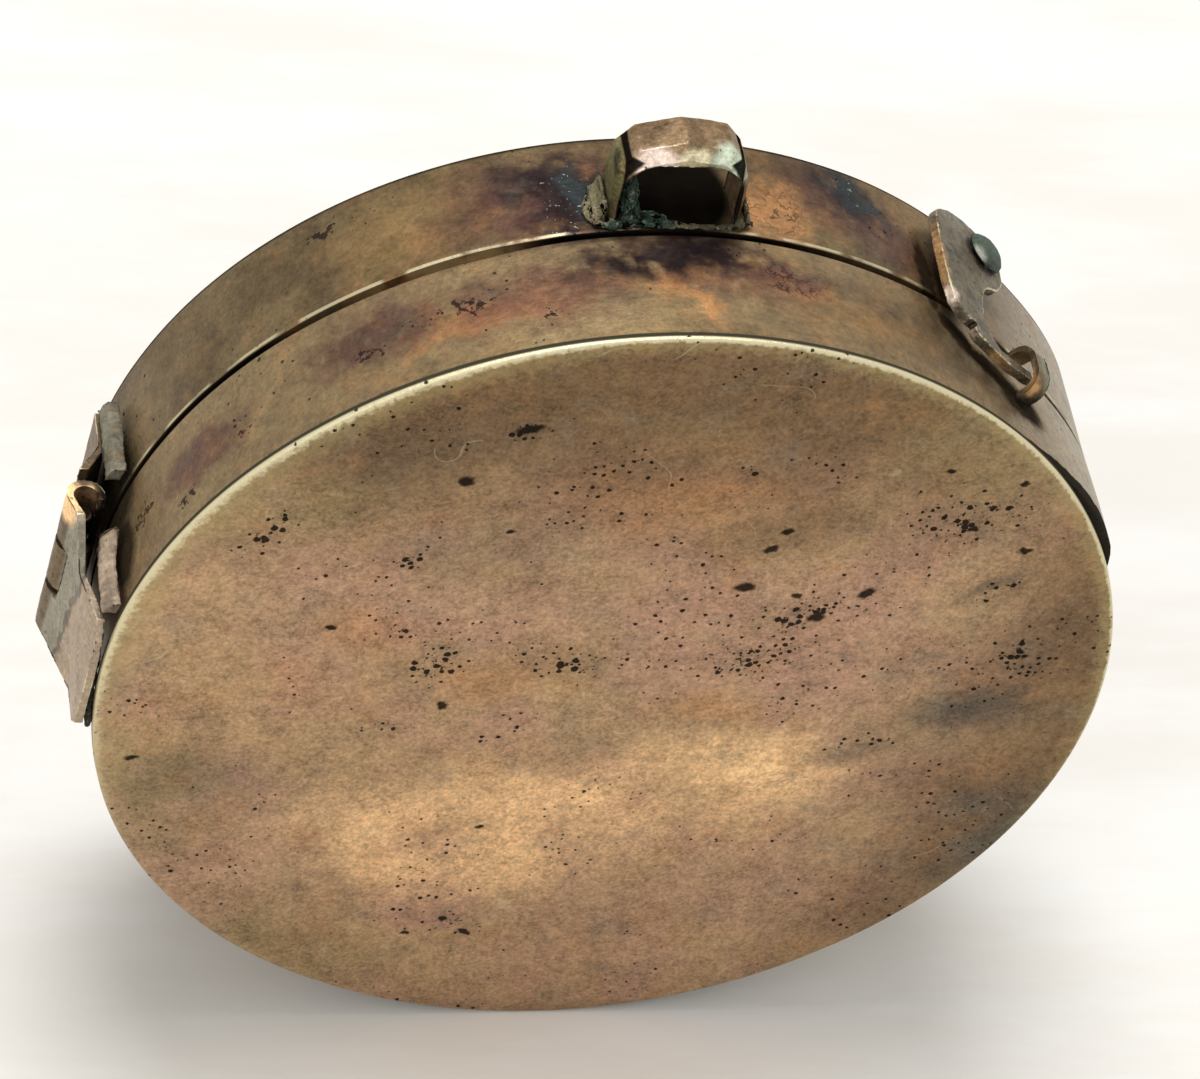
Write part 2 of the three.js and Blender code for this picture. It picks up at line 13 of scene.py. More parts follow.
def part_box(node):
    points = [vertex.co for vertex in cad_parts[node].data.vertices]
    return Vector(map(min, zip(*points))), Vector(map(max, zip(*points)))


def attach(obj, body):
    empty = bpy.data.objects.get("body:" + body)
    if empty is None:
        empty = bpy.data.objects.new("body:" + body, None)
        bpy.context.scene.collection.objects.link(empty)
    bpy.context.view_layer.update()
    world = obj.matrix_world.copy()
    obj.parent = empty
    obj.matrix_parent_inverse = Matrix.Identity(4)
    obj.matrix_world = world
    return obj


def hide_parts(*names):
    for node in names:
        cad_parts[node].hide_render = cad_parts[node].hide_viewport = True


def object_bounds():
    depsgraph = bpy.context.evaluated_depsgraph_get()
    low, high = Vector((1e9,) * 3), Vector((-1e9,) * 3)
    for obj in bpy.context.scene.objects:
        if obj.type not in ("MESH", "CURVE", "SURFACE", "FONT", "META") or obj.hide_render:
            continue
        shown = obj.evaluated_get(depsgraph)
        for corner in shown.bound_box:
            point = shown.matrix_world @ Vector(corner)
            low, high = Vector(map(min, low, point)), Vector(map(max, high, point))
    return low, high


bl_info = {
    "name": "Pendant reliquary",
    "version": (1, 0, 0),
    "blender": (4, 5, 0),
    "location": "3D View > Sidebar > Reliquary",
    "description": "Builds the worn brass surfaces of a round hinged pendant reliquary",
    "category": "Add Mesh",
}

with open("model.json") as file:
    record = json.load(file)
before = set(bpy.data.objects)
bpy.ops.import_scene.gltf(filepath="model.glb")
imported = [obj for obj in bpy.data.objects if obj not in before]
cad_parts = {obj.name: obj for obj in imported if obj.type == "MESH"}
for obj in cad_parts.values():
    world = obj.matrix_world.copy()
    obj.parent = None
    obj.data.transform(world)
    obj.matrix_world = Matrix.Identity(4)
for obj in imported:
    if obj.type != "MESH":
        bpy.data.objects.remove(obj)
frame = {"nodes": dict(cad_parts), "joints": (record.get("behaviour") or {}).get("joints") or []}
CAD_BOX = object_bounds()
MM = 0.001
TINY = 0.002 * MM
# The mirror-like share of metals under their dull skin
DULL = 0.0
# How finely the turned pieces and the drill are divided
DISC_RINGS = 56
RIM_STEPS = 8
INNER_RINGS = 12
BAND_RINGS = 20
DRILL_SIDES = 32
DRILL_LENGTH = 8 * MM
# Sizes of the dents in discs and bands
DISC_WAVES = 6 * MM
DISC_RIPPLES = 1.4 * MM
BAND_WAVES = 4 * MM
# How far from the seam its wavering reaches into the bands, and the size of its waves
SEAM_REACH = 2 * MM
SEAM_WAVES = 7 * MM
# What is left of the crust's height in front of the band's edge
CRUST_LEFT = 0.02
# Percentage of the vertices whose wear lies within 1
WEAR_WITHIN = 97


# Places that the frame gives
def middle(node):
    """The centre of a node's box."""
    low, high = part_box(node)
    return (low + high) / 2


LID_LOW, LID_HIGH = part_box("lid_plate")
BACK_LOW, BACK_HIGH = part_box("body_plate")
LID_BAND_LOW, LID_BAND_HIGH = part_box("lid_band")
BODY_BAND_LOW, BODY_BAND_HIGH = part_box("body_band")
AXIS = Vector((middle("lid_plate").x, 0, middle("lid_plate").z))
RIM = (LID_HIGH.x - LID_LOW.x) / 2
BAND_RADIUS = (LID_BAND_HIGH.x - LID_BAND_LOW.x) / 2
JOINTS = {joint["name"]: joint for joint in frame["joints"]}
RIVET = Vector(JOINTS["hook_swing"]["pos_m"])
RIVET_AXIS = Vector(JOINTS["hook_swing"]["axis"])


def tone(code):
    """A linear colour from a six digit screen colour."""
    parts = [(code >> shift & 255) / 255 for shift in (16, 8, 0)]
    return tuple(p / 12.92 if p <= 0.04045 else ((p + 0.055) / 1.055) ** 2.4 for p in parts)


def colour_setting(name, description, code):
    return FloatVectorProperty(
        name=name, description=description, subtype="COLOR", size=3, min=0, max=1, default=tone(code)
    )


def length_setting(name, description, millimetres):
    return FloatProperty(
        name=name, description=description, unit="LENGTH", precision=5, min=0, default=millimetres * MM
    )


def power_setting(name, description, watts):
    return FloatProperty(name=name, description=description, unit="POWER", min=0, default=watts)


class ReliquaryColours(bpy.types.PropertyGroup):
    tan: colour_setting("Tan patina", "Main colour of the discs", 0xB29470)
    # Also a painted reflection of the lit floor, low on the lid's disc
    gold: colour_setting("Golden patina, painted reflection", "Where the patina is thin", 0xFFD29C)
    pink: colour_setting("Pinkish patina", "Copper-rich brown stains", 0xB08C74)
    olive: colour_setting("Olive patina", "Towards the discs' edges", 0x8F7D59)
    # Used as painted shade towards the lid's top, right and bottom edge
    umber: colour_setting("Dark patina and painted shade", "The top and right of the lid", 0x70593F)
    smoke: colour_setting("Smoke", "Blue-grey smudges", 0x4F4C44)
    pit: colour_setting("Pits", "Corrosion pits", 0x191613)
    # Painted shade with some grime: black in the loop's eye, the seam, behind the lid's rim and beside the
    # hook and hinge
    shade: colour_setting("Painted shade, deep grime", "Inside the loop's eye and in the tightest gaps", 0x0B0A09)
    rust: colour_setting("Warm mottles", "Orange-brown mottles of the sheet", 0xA87B50)
    ash: colour_setting("Cool mottles", "Grey mottles of the sheet", 0x857B6A)
    rim_glow: colour_setting("Worn rim with painted highlight, inside", "Olive-gold ring inside the rim", 0xB0A070)
    bright: colour_setting("Bright brass", "Rims with painted highlight, and worn edges", 0xDDD2AC)
    band: colour_setting("Band", "Grey-brown side walls", 0x62513A)
    band_lid: colour_setting("Lid's band", "Lighter wall of the lid", 0x857052)
    band_brown: colour_setting("Brown band", "Darker wall towards the hook", 0x5F4E38)
    band_gold: colour_setting("Golden band", "Walls near the hook", 0x96774D)
    sky_reflection: colour_setting("Painted reflection, band", "Side walls towards the right", 0xA99E8C)
    heat_dark: colour_setting("Heat stain", "Purple-black stain round the loop", 0x271E20)
    heat_plum: colour_setting("Plum stain", "Spots and edges of the heat stain", 0x5A3C38)
    heat_orange: colour_setting("Heat orange", "Orange bloom beside the stain", 0xB98657)
    slate: colour_setting("Slate", "Blue-black deposits", 0x343E3E)
    salt: colour_setting("Salts", "Whitish flecks", 0xA9A89C)
    speckle: colour_setting("Pale verdigris", "Light green specks in the corrosion", 0x7D9584)
    loop_top: colour_setting("Loop, top", "Brown upper facets of the loop", 0x8C7356)
    loop_side: colour_setting("Loop, sides", "Olive legs of the loop", 0x7C7650)
    bright_wear_and_highlight: colour_setting("Loop, front", "Worn front facet of the loop, with painted highlight", 0xF2DCCB)
    green_and_highlight: colour_setting("Loop, corner", "Pale green corner of the loop, with painted highlight", 0xC4CDB4)
    verdigris: colour_setting("Verdigris", "Green corrosion", 0x3E4F44)
    fitting: colour_setting("Fittings", "Sheet of the hinge", 0x75644E)
    hook: colour_setting("Hook", "Dark sheet of the hook", 0x6A6250)
    cut_edge_and_highlight: colour_setting("Hook, side", "Brown-gold cut edge of the hook, with painted highlight", 0xC79C68)
    staple_side: colour_setting("Staple, outside", "Grey-green outside of the staple", 0x8C8F78)
    fitting_grey: colour_setting("Fittings, grey", "Grey-green sheet of the leaf", 0x938C7B)
    fitting_pink: colour_setting("Fittings, pinkish", "Pinkish sheet of the leaf", 0xAA9782)
    fitting_dark: colour_setting("Fittings, dark", "Dirt in their hollows", 0x2A221B)
    solder: colour_setting("Solder", "Grey solder", 0x85806F)
    solder_dark: colour_setting("Solder, dark", "Dirt in the solder", 0x2B2B26)
    crust: colour_setting("Crust", "Yellow-grey corrosion on the solder", 0x857C60)
    rivet: colour_setting("Rivet", "Grey-green head of the rivet", 0x5A6459)
    inside: colour_setting("Inside brass", "Sheltered brass", 0xBFA062)
    wood: colour_setting("Wood", "Board behind the relic", 0x6D4A30)
    wax: colour_setting("Wax", "Bed of the relic", 0xB98F4C)
    bone: colour_setting("Bone", "The relic", 0xD8C8A4)
    glass: colour_setting("Glass", "Window pane", 0xE6EEE8)


class ReliquaryForm(bpy.types.PropertyGroup):
    turn_steps: IntProperty(name="Turn steps", description="Divisions round the drum", default=288, min=48)
    rim_wear: length_setting("Rim wear", "How far in the discs' worn rims round off", 0.3)
    rim_depth: length_setting("Rim depth", "How deep the worn rims round off", 0.24)
    edge_break: length_setting("Edge break", "Softened edges of bands and rings", 0.08)
    back_edge: length_setting("Back edge", "Rounding of the back disc's edge", 0.12)
    disc_dents: length_setting("Disc dents", "Unevenness of the beaten discs", 0.05)
    band_dents: length_setting("Band dents", "Unevenness of the rolled bands", 0.05)
    band_wall: length_setting("Band wall", "Thickness of the bands", 0.7)
    seam_waver: length_setting("Seam waver", "How far the seam's edges wander", 0.05)
    swell: length_setting("Swell", "How far the walls stand out of round beside the latch", 1.0)
    rivet_hole: length_setting("Rivet hole", "Radius of the rivet's hole in the band", 0.68)
    collar_wall: length_setting("Collar wall", "Thickness of the inner collar", 0.5)
    ring_wall: length_setting("Ring wall", "Thickness of the pane's seat ring", 0.6)
    fine_voxel: length_setting("Fine voxel", "Grid that small pieces are remeshed on", 0.06)
    loop_hammer: length_setting("Loop hammering", "Depth of the loop's hammer marks", 0.1)
    solder_lumps: length_setting("Solder lumps", "Roughness of the solder", 0.16)
    strip_voxel: length_setting("Strip voxel", "Grid that the hinge's solder is remeshed on", 0.1)
    strip_lumps: length_setting("Strip lumps", "Roughness of the solder beside the hinge", 0.22)
    crust_lumps: length_setting("Crust lumps", "Roughness of the corrosion round the loop's feet", 0.2)


class ReliquaryStage(bpy.types.PropertyGroup):
    floor: colour_setting("Floor", "Pale painted board", 0xFAF8F3)
    floor_streak: colour_setting("Floor streaks", "Brush streaks in its paint", 0xF3EFE7)
    key_power: power_setting("Key light", "Power of the large lamp", 13.5)
    fill_power: power_setting("Fill light", "Power of the small lamp", 3)
    sky_strength: FloatProperty(name="Sky", description="Light from all round", default=0.53, min=0)
    lens: FloatProperty(name="Lens", description="Focal length", unit="CAMERA", default=150)


# Building meshes
def stretched(start, end, steps):
    """Places from start up to end, end left out."""
    return [tuple(a + (b - a) * step / steps for a, b in zip(start, end)) for step in range(steps)]


def turned(profile, steps, closed=False):
    """A body turned round the drum's axis from (radius, y) places."""
    bm = bmesh.new()
    verts = [bm.verts.new((AXIS.x + radius, y, AXIS.z)) for radius, y in profile]
    pairs = list(zip(verts, verts[1:]))
    if closed:
        pairs.append((verts[-1], verts[0]))
    edges = [bm.edges.new(pair) for pair in pairs]
    bmesh.ops.spin(
        bm, geom=verts + edges, cent=AXIS, axis=(0, 1, 0), angle=2 * math.pi, steps=steps, use_merge=True
    )
    bmesh.ops.remove_doubles(bm, verts=bm.verts, dist=TINY)
    bmesh.ops.recalc_face_normals(bm, faces=bm.faces)
    return bm


def waver(place, size, seed=0.0):
    """Smooth noise from 0 to 1 with features of the given size."""
    return min(1, max(0, 0.5 + 0.5 * noise.noise(place / size + Vector((seed, seed, seed)))))


def press_in(bm, depth, size, seed=0.0, wanted=lambda vert: True):
    """Dents every wanted vertex inwards along its normal."""
    bm.normal_update()
    moves = [
        (vert, vert.normal * -depth * waver(vert.co, size, seed)) for vert in bm.verts if wanted(vert)
    ]
    for vert, move in moves:
        vert.co += move


def soften(bm, sharp_angle=math.radians(38)):
    """Smooth shading, with the sharp edges marked."""
    bm.normal_update()
    for face in bm.faces:
        face.smooth = True
    for edge in bm.edges:
        edge.smooth = len(edge.link_faces) == 2 and edge.calc_face_angle(0) < sharp_angle


def values_of(items, key, width, kind=np.float32):
    """A setting of every vertex or edge, as an array."""
    values = np.empty(len(items) * width, kind)
    items.foreach_get(key, values)
    return values.reshape(-1, width)


def record_wear(mesh, passes=4):
    """Stores how far each vertex stands out from its neighbours, as the attribute wear."""
    count = len(mesh.vertices)
    places = values_of(mesh.vertices, "co", 3)
    normals = values_of(mesh.vertices, "normal", 3)
    ends = values_of(mesh.edges, "vertices", 2, np.int32)
    first, second = ends.T
    along = places[first] - places[second]
    along /= np.maximum(np.linalg.norm(along, axis=1, keepdims=True), 1e-12)
    links = np.maximum(np.bincount(ends.ravel(), minlength=count), 1)
    outward = np.bincount(first, (normals[first] * along).sum(1), count)
    outward -= np.bincount(second, (normals[second] * along).sum(1), count)
    wear = outward / links
    for _ in range(passes):
        near = np.bincount(first, wear[second], count) + np.bincount(second, wear[first], count)
        wear = (wear + near / links) / 2
    wear /= max(np.percentile(np.abs(wear), WEAR_WITHIN), 1e-6)
    attribute = mesh.attributes.new("wear", "FLOAT", "POINT")
    attribute.data.foreach_set("value", wear.astype(np.float32))


def finish_piece(name, mesh, body, slot, material, *nodes):
    """Hands a finished mesh over as the piece that stands for the nodes."""
    mesh.name = name
    piece = bpy.data.objects.new(name, mesh)
    bpy.context.scene.collection.objects.link(piece)
    mesh.materials.clear()
    mesh.materials.append(material)
    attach(piece, body)
    if nodes:
        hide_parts(*nodes)
    return piece


def mesh_of(bm, name):
    mesh = bpy.data.meshes.new(name)
    bm.to_mesh(mesh)
    bm.free()
    return mesh


def with_modifiers(mesh, *modifiers):
    """The mesh after modifiers, each a type with its settings."""
    helper = bpy.data.objects.new("helper", mesh)
    bpy.context.scene.collection.objects.link(helper)
    for kind, settings in modifiers:
        modifier = helper.modifiers.new(kind.title(), kind)
        for key, value in settings.items():
            setattr(modifier, key, value)
    graph = bpy.context.evaluated_depsgraph_get()
    made = bpy.data.meshes.new_from_object(helper.evaluated_get(graph))
    bpy.data.objects.remove(helper)
    return made


def sculpted(node, voxel, smoothing, *dents):
    """A fine copy of a node with rounded edges and dents."""
    bm = bmesh.new()
    bm.from_mesh(frame["nodes"][node].data)
    bmesh.ops.remove_doubles(bm, verts=bm.verts, dist=TINY)
    bmesh.ops.scale(bm, vec=(1 / MM,) * 3, verts=bm.verts)
    return worked(bm, node, voxel, smoothing, *dents)


def sculpted_piece(node, name, body, slot, look, *shape):
    """Hands over a fine copy of a node in its place."""
    finish_piece(name, sculpted(node, *shape), body, slot, look, node)


def worked(bm, name, voxel, smoothing, dents=0.0, dent_size=1.0 * MM, grain=0.0, seed=0.0):
    """Remeshes a body given in millimetres, rounds its edges and dents it."""
    fine = with_modifiers(
        mesh_of(bm, name),
        ("REMESH", {"mode": "VOXEL", "voxel_size": voxel / MM, "use_smooth_shade": True}),
        ("SMOOTH", {"factor": 0.5, "iterations": smoothing}),
    )
    bm = bmesh.new()
    bm.from_mesh(fine)
    bmesh.ops.scale(bm, vec=(MM,) * 3, verts=bm.verts)
    if dents:
        press_in(bm, dents, dent_size, seed)
    if grain:
        press_in(bm, grain, dent_size / 4, seed + 7)
    bm.normal_update()
    for face in bm.faces:
        face.smooth = True
    mesh = mesh_of(bm, name + "_fine")
    record_wear(mesh)
    return mesh


def lumps(name, table, form):
    """One lumpy body from ellipsoids, each a centre and radii in millimetres."""
    bm = bmesh.new()
    for centre, radii in table:
        place = Matrix.Translation(centre) @ Matrix.Diagonal((*radii, 1))
        bmesh.ops.create_icosphere(bm, subdivisions=3, radius=1, matrix=place)
    return worked(bm, name, form.fine_voxel, 2, form.crust_lumps, dent_size=0.45 * MM, grain=0.1 * MM)


# Building materials
class Value:
    """A shader socket that takes part in Python expressions."""

    def __init__(self, surface, socket):
        self.surface = surface
        self.socket = socket

    def maths(self, operation, *others):
        return self.surface.node("ShaderNodeMath", dict(enumerate((self, *others))), operation=operation)

    def __add__(self, other):
        return self.maths("ADD", other)

    __radd__ = __add__

    def __mul__(self, other):
        return self.maths("MULTIPLY", other)

    __rmul__ = __mul__

    def __sub__(self, other):
        return self.maths("SUBTRACT", other)

    def __rsub__(self, other):
        return self.surface.node("ShaderNodeMath", {0: other, 1: self}, operation="SUBTRACT")

    def __or__(self, other):
        """The larger of two masks."""
        return self.maths("MAXIMUM", other)


class Surface:
    """A node material on places in millimetres from a centre."""

    def __init__(self, name, centre=AXIS):
        self.material = bpy.data.materials.new(name)
        self.material.use_nodes = True
        self.nodes = self.material.node_tree.nodes
        self.links = self.material.node_tree.links
        self.nodes.clear()
        place = self.node("ShaderNodeTexCoord", output="Object")
        self.place = self.node(
            "ShaderNodeMapping",
            {"Vector": place, "Location": tuple(-centre / MM), "Scale": (1 / MM,) * 3},
        )
        self.x, self.y, self.z = (
            self.node("ShaderNodeSeparateXYZ", {0: self.place}, output=index) for index in range(3)
        )

    def node(self, kind, values=None, output=0, **settings):
        """Adds a node: first its settings, then the values or links of its sockets."""
        made = self.nodes.new(kind)
        for key, value in settings.items():
            setattr(made, key, value)
        for key, value in (values or {}).items():
            if isinstance(value, Value):
                self.links.new(value.socket, made.inputs[key])
            else:
                made.inputs[key].default_value = value
        return Value(self, made.outputs[output])

    def noise(self, size, detail=3, roughness=0.55, stretch=(1, 1, 1), shift=0.0):
        """Noise with features of the given size in millimetres."""
        place = self.node(
            "ShaderNodeMapping", {"Vector": self.place, "Location": (shift,) * 3, "Scale": stretch}
        )
        values = {"Vector": place, "Scale": 1 / size, "Detail": detail, "Roughness": roughness}
        return self.node("ShaderNodeTexNoise", values)

    def step(self, value, low, high):
        """A smooth mask that is 0 at low and 1 at high."""
        return self.node(
            "ShaderNodeMapRange",
            {"Value": value, "From Min": low, "From Max": high},
            interpolation_type="SMOOTHSTEP",
        )

    def mix(self, factor, first, second):
        """Colour from first to second."""
        first, second = (
            colour if isinstance(colour, Value) else (*colour[:3], 1) for colour in (first, second)
        )
        return self.node("ShaderNodeMix", {0: factor, 6: first, 7: second}, output=2, data_type="RGBA")

    def shade(self, colour, factor):
        """The colour made darker or lighter."""
        if not isinstance(colour, Value):
            colour = tuple(colour[:3])
        return self.node("ShaderNodeVectorMath", {0: colour, "Scale": factor}, operation="SCALE")

    def patch(self, place, centre, size, turn=0.0, softness=0.6):
        """An elliptic mask. Centre and size are in millimetres, the turn in degrees."""
        unit = self.node(
            "ShaderNodeMapping",
            {"Vector": place, "Location": centre, "Rotation": (0, 0, math.radians(turn)), "Scale": size},
            vector_type="TEXTURE",
        )
        reach = self.node("ShaderNodeVectorMath", {0: unit}, output="Value", operation="LENGTH")
        return self.step(reach, 1.0, 1.0 - softness)

    def dots(self, cell, reach, shift=0.0):
        """Ragged round spots of many sizes, up to a reach in cells of the given size."""
        place = self.node(
            "ShaderNodeMapping",
            {"Vector": self.warped(self.place, cell * 0.35, cell * 0.3), "Location": (shift,) * 3},
        )
        settings = {"Vector": place, "Scale": 1 / cell}
        distance = self.node("ShaderNodeTexVoronoi", settings, output="Distance")
        random = self.node("ShaderNodeTexVoronoi", settings, output="Color")
        random = self.node("ShaderNodeSeparateColor", {0: random})
        return self.step(reach * random - distance, -0.02, 0.07)

    def specks(self, size, cover, shift=0.0):
        """Ragged blots that close up as the cover goes from 0 to 1."""
        speckle = self.noise(size, detail=3, roughness=0.7, shift=shift)
        return self.step(speckle + cover * 0.2, 0.795, 0.82)

    def warped(self, place, amount, size):
        """A place pushed about by noise, for ragged outlines."""
        colour = self.node(
            "ShaderNodeTexNoise", {"Vector": self.place, "Scale": 1 / size, "Detail": 3}, output="Color"
        )
        push = self.node(
            "ShaderNodeVectorMath", {0: colour, 1: (0.5, 0.5, 0.5)}, operation="SUBTRACT"
        )
        push = self.node("ShaderNodeVectorMath", {0: push, "Scale": amount}, operation="SCALE")
        return self.node("ShaderNodeVectorMath", {0: place, 1: push}, operation="ADD")

    def bump(self, height, depth, normal=None):
        """A surface normal from a height of 0 to 1 and a depth in millimetres."""
        values = {"Height": height, "Distance": depth * MM, "Strength": 1.0}
        if normal:
            values["Normal"] = normal
        return self.node("ShaderNodeBump", values, output="Normal")

    def shaded(self, colour, roughness, metallic=0.0, normal=None, **fixed):
        """Ends the material in one shader. Fixed values go on its own sockets."""
        values = {"Base Color": colour, "Roughness": roughness, "Metallic": metallic}
        if normal:
            values["Normal"] = normal
        values.update({key.replace("_", " "): value for key, value in fixed.items()})
        shader = self.node("ShaderNodeBsdfPrincipled", values, output="BSDF")
        end = self.nodes.new("ShaderNodeOutputMaterial")
        self.links.new(shader.socket, end.inputs["Surface"])
        return self.material


def flat_place(surface):
    """X across and Y up on a disc, in millimetres, and the distance from its middle."""
    flat = surface.node("ShaderNodeCombineXYZ", {0: surface.x, 1: surface.z})
    return flat, surface.node("ShaderNodeVectorMath", {0: flat}, output="Value", operation="LENGTH")


def rolled_place(surface):
    """X round the band from the top and Y towards the back from the loop's middle, in millimetres."""
    across = surface.x.maths("ARCTAN2", surface.z) * (BAND_RADIUS / MM)
    return surface.node("ShaderNodeCombineXYZ", {0: across, 1: surface.y}), across


def rim_place(degrees):
    """How far round the band a place lies, in millimetres."""
    return math.radians(degrees) * BAND_RADIUS / MM


def grain_of(surface, brushing=0.4):
    """Fine specks and scratches that all the sheet has, as a height."""
    fine = surface.noise(0.22, detail=4, roughness=0.7)
    brushed = surface.noise(0.35, detail=3, stretch=(0.35, 1, 1.6), shift=11)
    return fine * (1 - brushing) + brushed * brushing


# Marks on the lid's disc: centre across and up, half sizes in millimetres, and a turn in degrees
# Painted reflection of the lit floor: the golden patches low on the lid
GOLDEN_REFLECTION = ((1, -9, 17, 8, 4), (-8, -13, 14, 7.5, -12), (9, -6.5, 12, 5.5, 12))
ORANGE_DISC = (
    (-22, 0, 7, 4, 20), (-15, 6, 5, 3, 0), (-8, 2, 7, 3, 10), (1, 17, 9, 4, 0), (6, -1, 6, 2.5, 0),
)
PINKISH = ((13, 6, 9, 5, 20), (8, -19, 14, 5, 8), (-19, 5, 6, 8, 0), (-3, 9, 9, 4, 0))
OLIVE = ((-26, -8, 6, 12, 20), (-17, -22, 12, 6, -35), (-20, 16, 8, 5, 40), (19, 20, 9, 6, -35))
# Painted shade: darker patches at the lid's top, right and bottom edge
UMBER_SHADE = ((0, -31, 18, 3.0, 0), (-15, 20, 9, 6, 30), (8, 15, 9, 4, 20), (26, 12, 6, 9, 0))
SMOKY = (
    (21, -1.4, 9.5, 2.8, 14), (25.5, -9.6, 8, 2.6, 16), (15.5, -4.6, 5, 1.8, 8),
    (21, 9.6, 4, 1.0, 38), (26, -13, 9, 5, 48),
)
HAZE = ((-9, 13, 8, 5, 5), (-23, -8, 7, 6, 0), (-14, 22, 8, 4, 25))
PIT_FIELDS = (
    (8.0, 4.0, 5.5, 2.8, 20), (6.6, 3.0, 3.0, 1.6, 0), (-3.0, 3.4, 5.5, 2.6, -10),
    (18.4, 16.0, 6.6, 4.2, 0), (17.0, -3.6, 3.2, 1.2, 10), (-8.6, 22.6, 2.6, 1.2, 15),
    (21.4, 9.6, 3.4, 1.2, 40), (-10.8, 3.0, 3.6, 3.6, -25), (-12.8, -2.2, 2.4, 1.4, 0),
    (4.7, 19.4, 1.6, 1.4, 0), (-13.4, 12.0, 1.8, 1.0, 0), (-22, 14, 4, 2.0, 55), (24, 4.5, 4, 4, 0),
    (10, 7.4, 5, 2.4, 30), (-6, -21, 3, 1.6, -20),
)
PITS = (
    (-11.2, 18.6, 0.62, 0.48, 10), (-8.3, 22.8, 1.1, 0.4, 15), (6.3, 10.0, 0.88, 0.48, 5),
    (7.2, 13.2, 0.68, 0.38, 28), (7.9, 14.7, 0.48, 0.36, 20), (9.5, 9.3, 0.42, 0.34, 20),
    (13.6, 9.5, 0.72, 0.48, 40), (11.0, 7.4, 0.72, 0.52, 20), (18.7, 15.0, 0.52, 0.28, 10),
    (22.3, 13.2, 0.58, 0.32, 10), (20.9, 18.8, 0.40, 0.30, 10), (16.4, 19.8, 0.42, 0.26, 10),
    (-8.1, 14.5, 0.36, 0.26, 0), (-17.2, 6.4, 0.42, 0.30, 0), (-27.4, -5.0, 0.60, 0.30, 15),
    (-9.8, -0.4, 0.42, 0.5, 0), (-12.8, 6.1, 0.3, 0.26, 0), (-5.9, -11.5, 0.32, 0.20, 25),
    (-6.8, -20.4, 0.42, 0.34, 0), (-5.3, -21.7, 0.70, 0.26, -35), (-9.0, -21.7, 0.42, 0.24, 0),
)
# Stains on the bands: degrees round from the top and millimetres from the loop's middle
HEAT = (
    (-9.5, 0.6, 4.8, 5.4, 0), (-13, 2.6, 4.4, 2.8, 0), (-4, -4.2, 6, 1.8, 0), (6, -3.8, 4, 1.6, 0),
    (2.5, -3.6, 5.5, 2.6, -10), (-6, -4.4, 5, 2, 0), (23, 3.4, 4.6, 2.6, -28),
)
PLUM = (
    (-12, 1, 10, 5.5, 0), (3, -4.5, 9, 3.4, -12), (-16, -6, 9, 3.5, 0), (24, 2, 8, 4, -20),
    (-34, -5.5, 7, 3, 0), (-58, -6, 6, 2.5, 0), (11, -5, 5, 2.2, 0),
)
ORANGE = (
    (12.5, 0.5, 3.6, 4.0, 20), (-1.5, -6.0, 2.0, 1.7, -60), (1.5, -7.6, 2.6, 1.1, -38),
    (13, -5.6, 4, 1.4, 0), (-22, -6.8, 7, 1.6, 0),
)
BROWN_BAND = ((25, -6, 9, 3.6, 0), (38, -7, 8, 2.6, 0), (17, 4, 4, 2, 0))
GOLDEN_BAND = ((31, 3, 6, 5, 0), (20, -7, 8, 2, 0), (-14, -6, 9, 3, 0), (-29, 1, 7, 5, 0))
# Painted shadow and grime on the bands: along the hook's edge, round the staple and beside the hinge's
# barrel
SHADOW_AND_GRIME = (
    (32.1, -0.6, 0.9, 4.2, 0), (35.0, -4.4, 2.8, 1.0, -38), (41.0, -5.5, 3.8, 1.2, -8),
    (45.6, -6.3, 3.0, 1.8, 0), (-77, -1.4, 5.0, 4.4, 0), (-76, -6.0, 2.4, 3.4, 0),
)
SLATE = ((22.3, 4.2, 2.6, 1.8, 20), (25, 2.8, 2.6, 1.2, 0), (-9.6, 1.4, 1.2, 3.6, 10))
SPOTS = (
    (-38.7, 3.6, 2.4, 1.0, 15), (-35, -6.6, 2.2, 1.0, 0), (-70, -5.6, 2.6, 1.6, 30),
    (-52, -7.0, 1.6, 1.0, 0), (-24, -5.8, 3.5, 1.4, 0), (-14, -7.6, 1.6, 0.8, 0),
    (-62, -8, 2, 1, 0),
)
# How the seam opens and closes round the band: degrees and millimetres
SEAM_GAPS = (
    (-180, 0.0), (-75, -0.07), (-52, -0.05), (-34, 0.09), (-20, 0.13), (-10, -0.06), (8, -0.07),
    (24, 0.06), (180, 0.0),
)
# The walls' swell beside the latch, in degrees round from the top: its middle, how far it reaches either
# way, how much sooner its middle comes at the lid's front edge, and how far past it the swell goes there
SWELL_MIDDLE = 72
SWELL_REACH = 26
SWELL_LEAN = 8
SWELL_END = 8


def any_of(surface, place, marks, softness=0.6, round_band=False):
    """One mask for a table of marks."""
    total = None
    for across, up, half_width, half_height, turn in marks:
        x = rim_place(across) if round_band else across
        mask = surface.patch(place, (x, up, 0), (half_width, half_height, 1), turn, softness)
        total = mask if total is None else total | mask
    return total


def stained(surface, colour, place, stains, softness, round_band=False):
    """The colour under stains, each a table of marks with its strength and tone."""
    for marks, amount, shown in stains:
        colour = surface.mix(any_of(surface, place, marks, softness, round_band) * amount, colour, shown)
    return colour


def painted(surface, colour, place, spots, softness):
    """The colour under single spots, each a centre, half sizes, strength and tone."""
    for centre, size, amount, shown in spots:
        colour = surface.mix(surface.patch(place, centre, size, 0, softness) * amount, colour, shown)
    return colour


def mottled(surface, colour, grain, amount=1.0):
    """Uneven patina: light and dark at four sizes."""
    blotch = surface.noise(2.6, detail=4, roughness=0.65, shift=31)
    mottle = surface.noise(0.8, detail=3, roughness=0.6, shift=47)
    factor = 1 + amount * ((blotch - 0.5) * 0.55 + (mottle - 0.5) * 0.5 + (grain - 0.5) * 1.3)
    return surface.shade(colour, factor), blotch


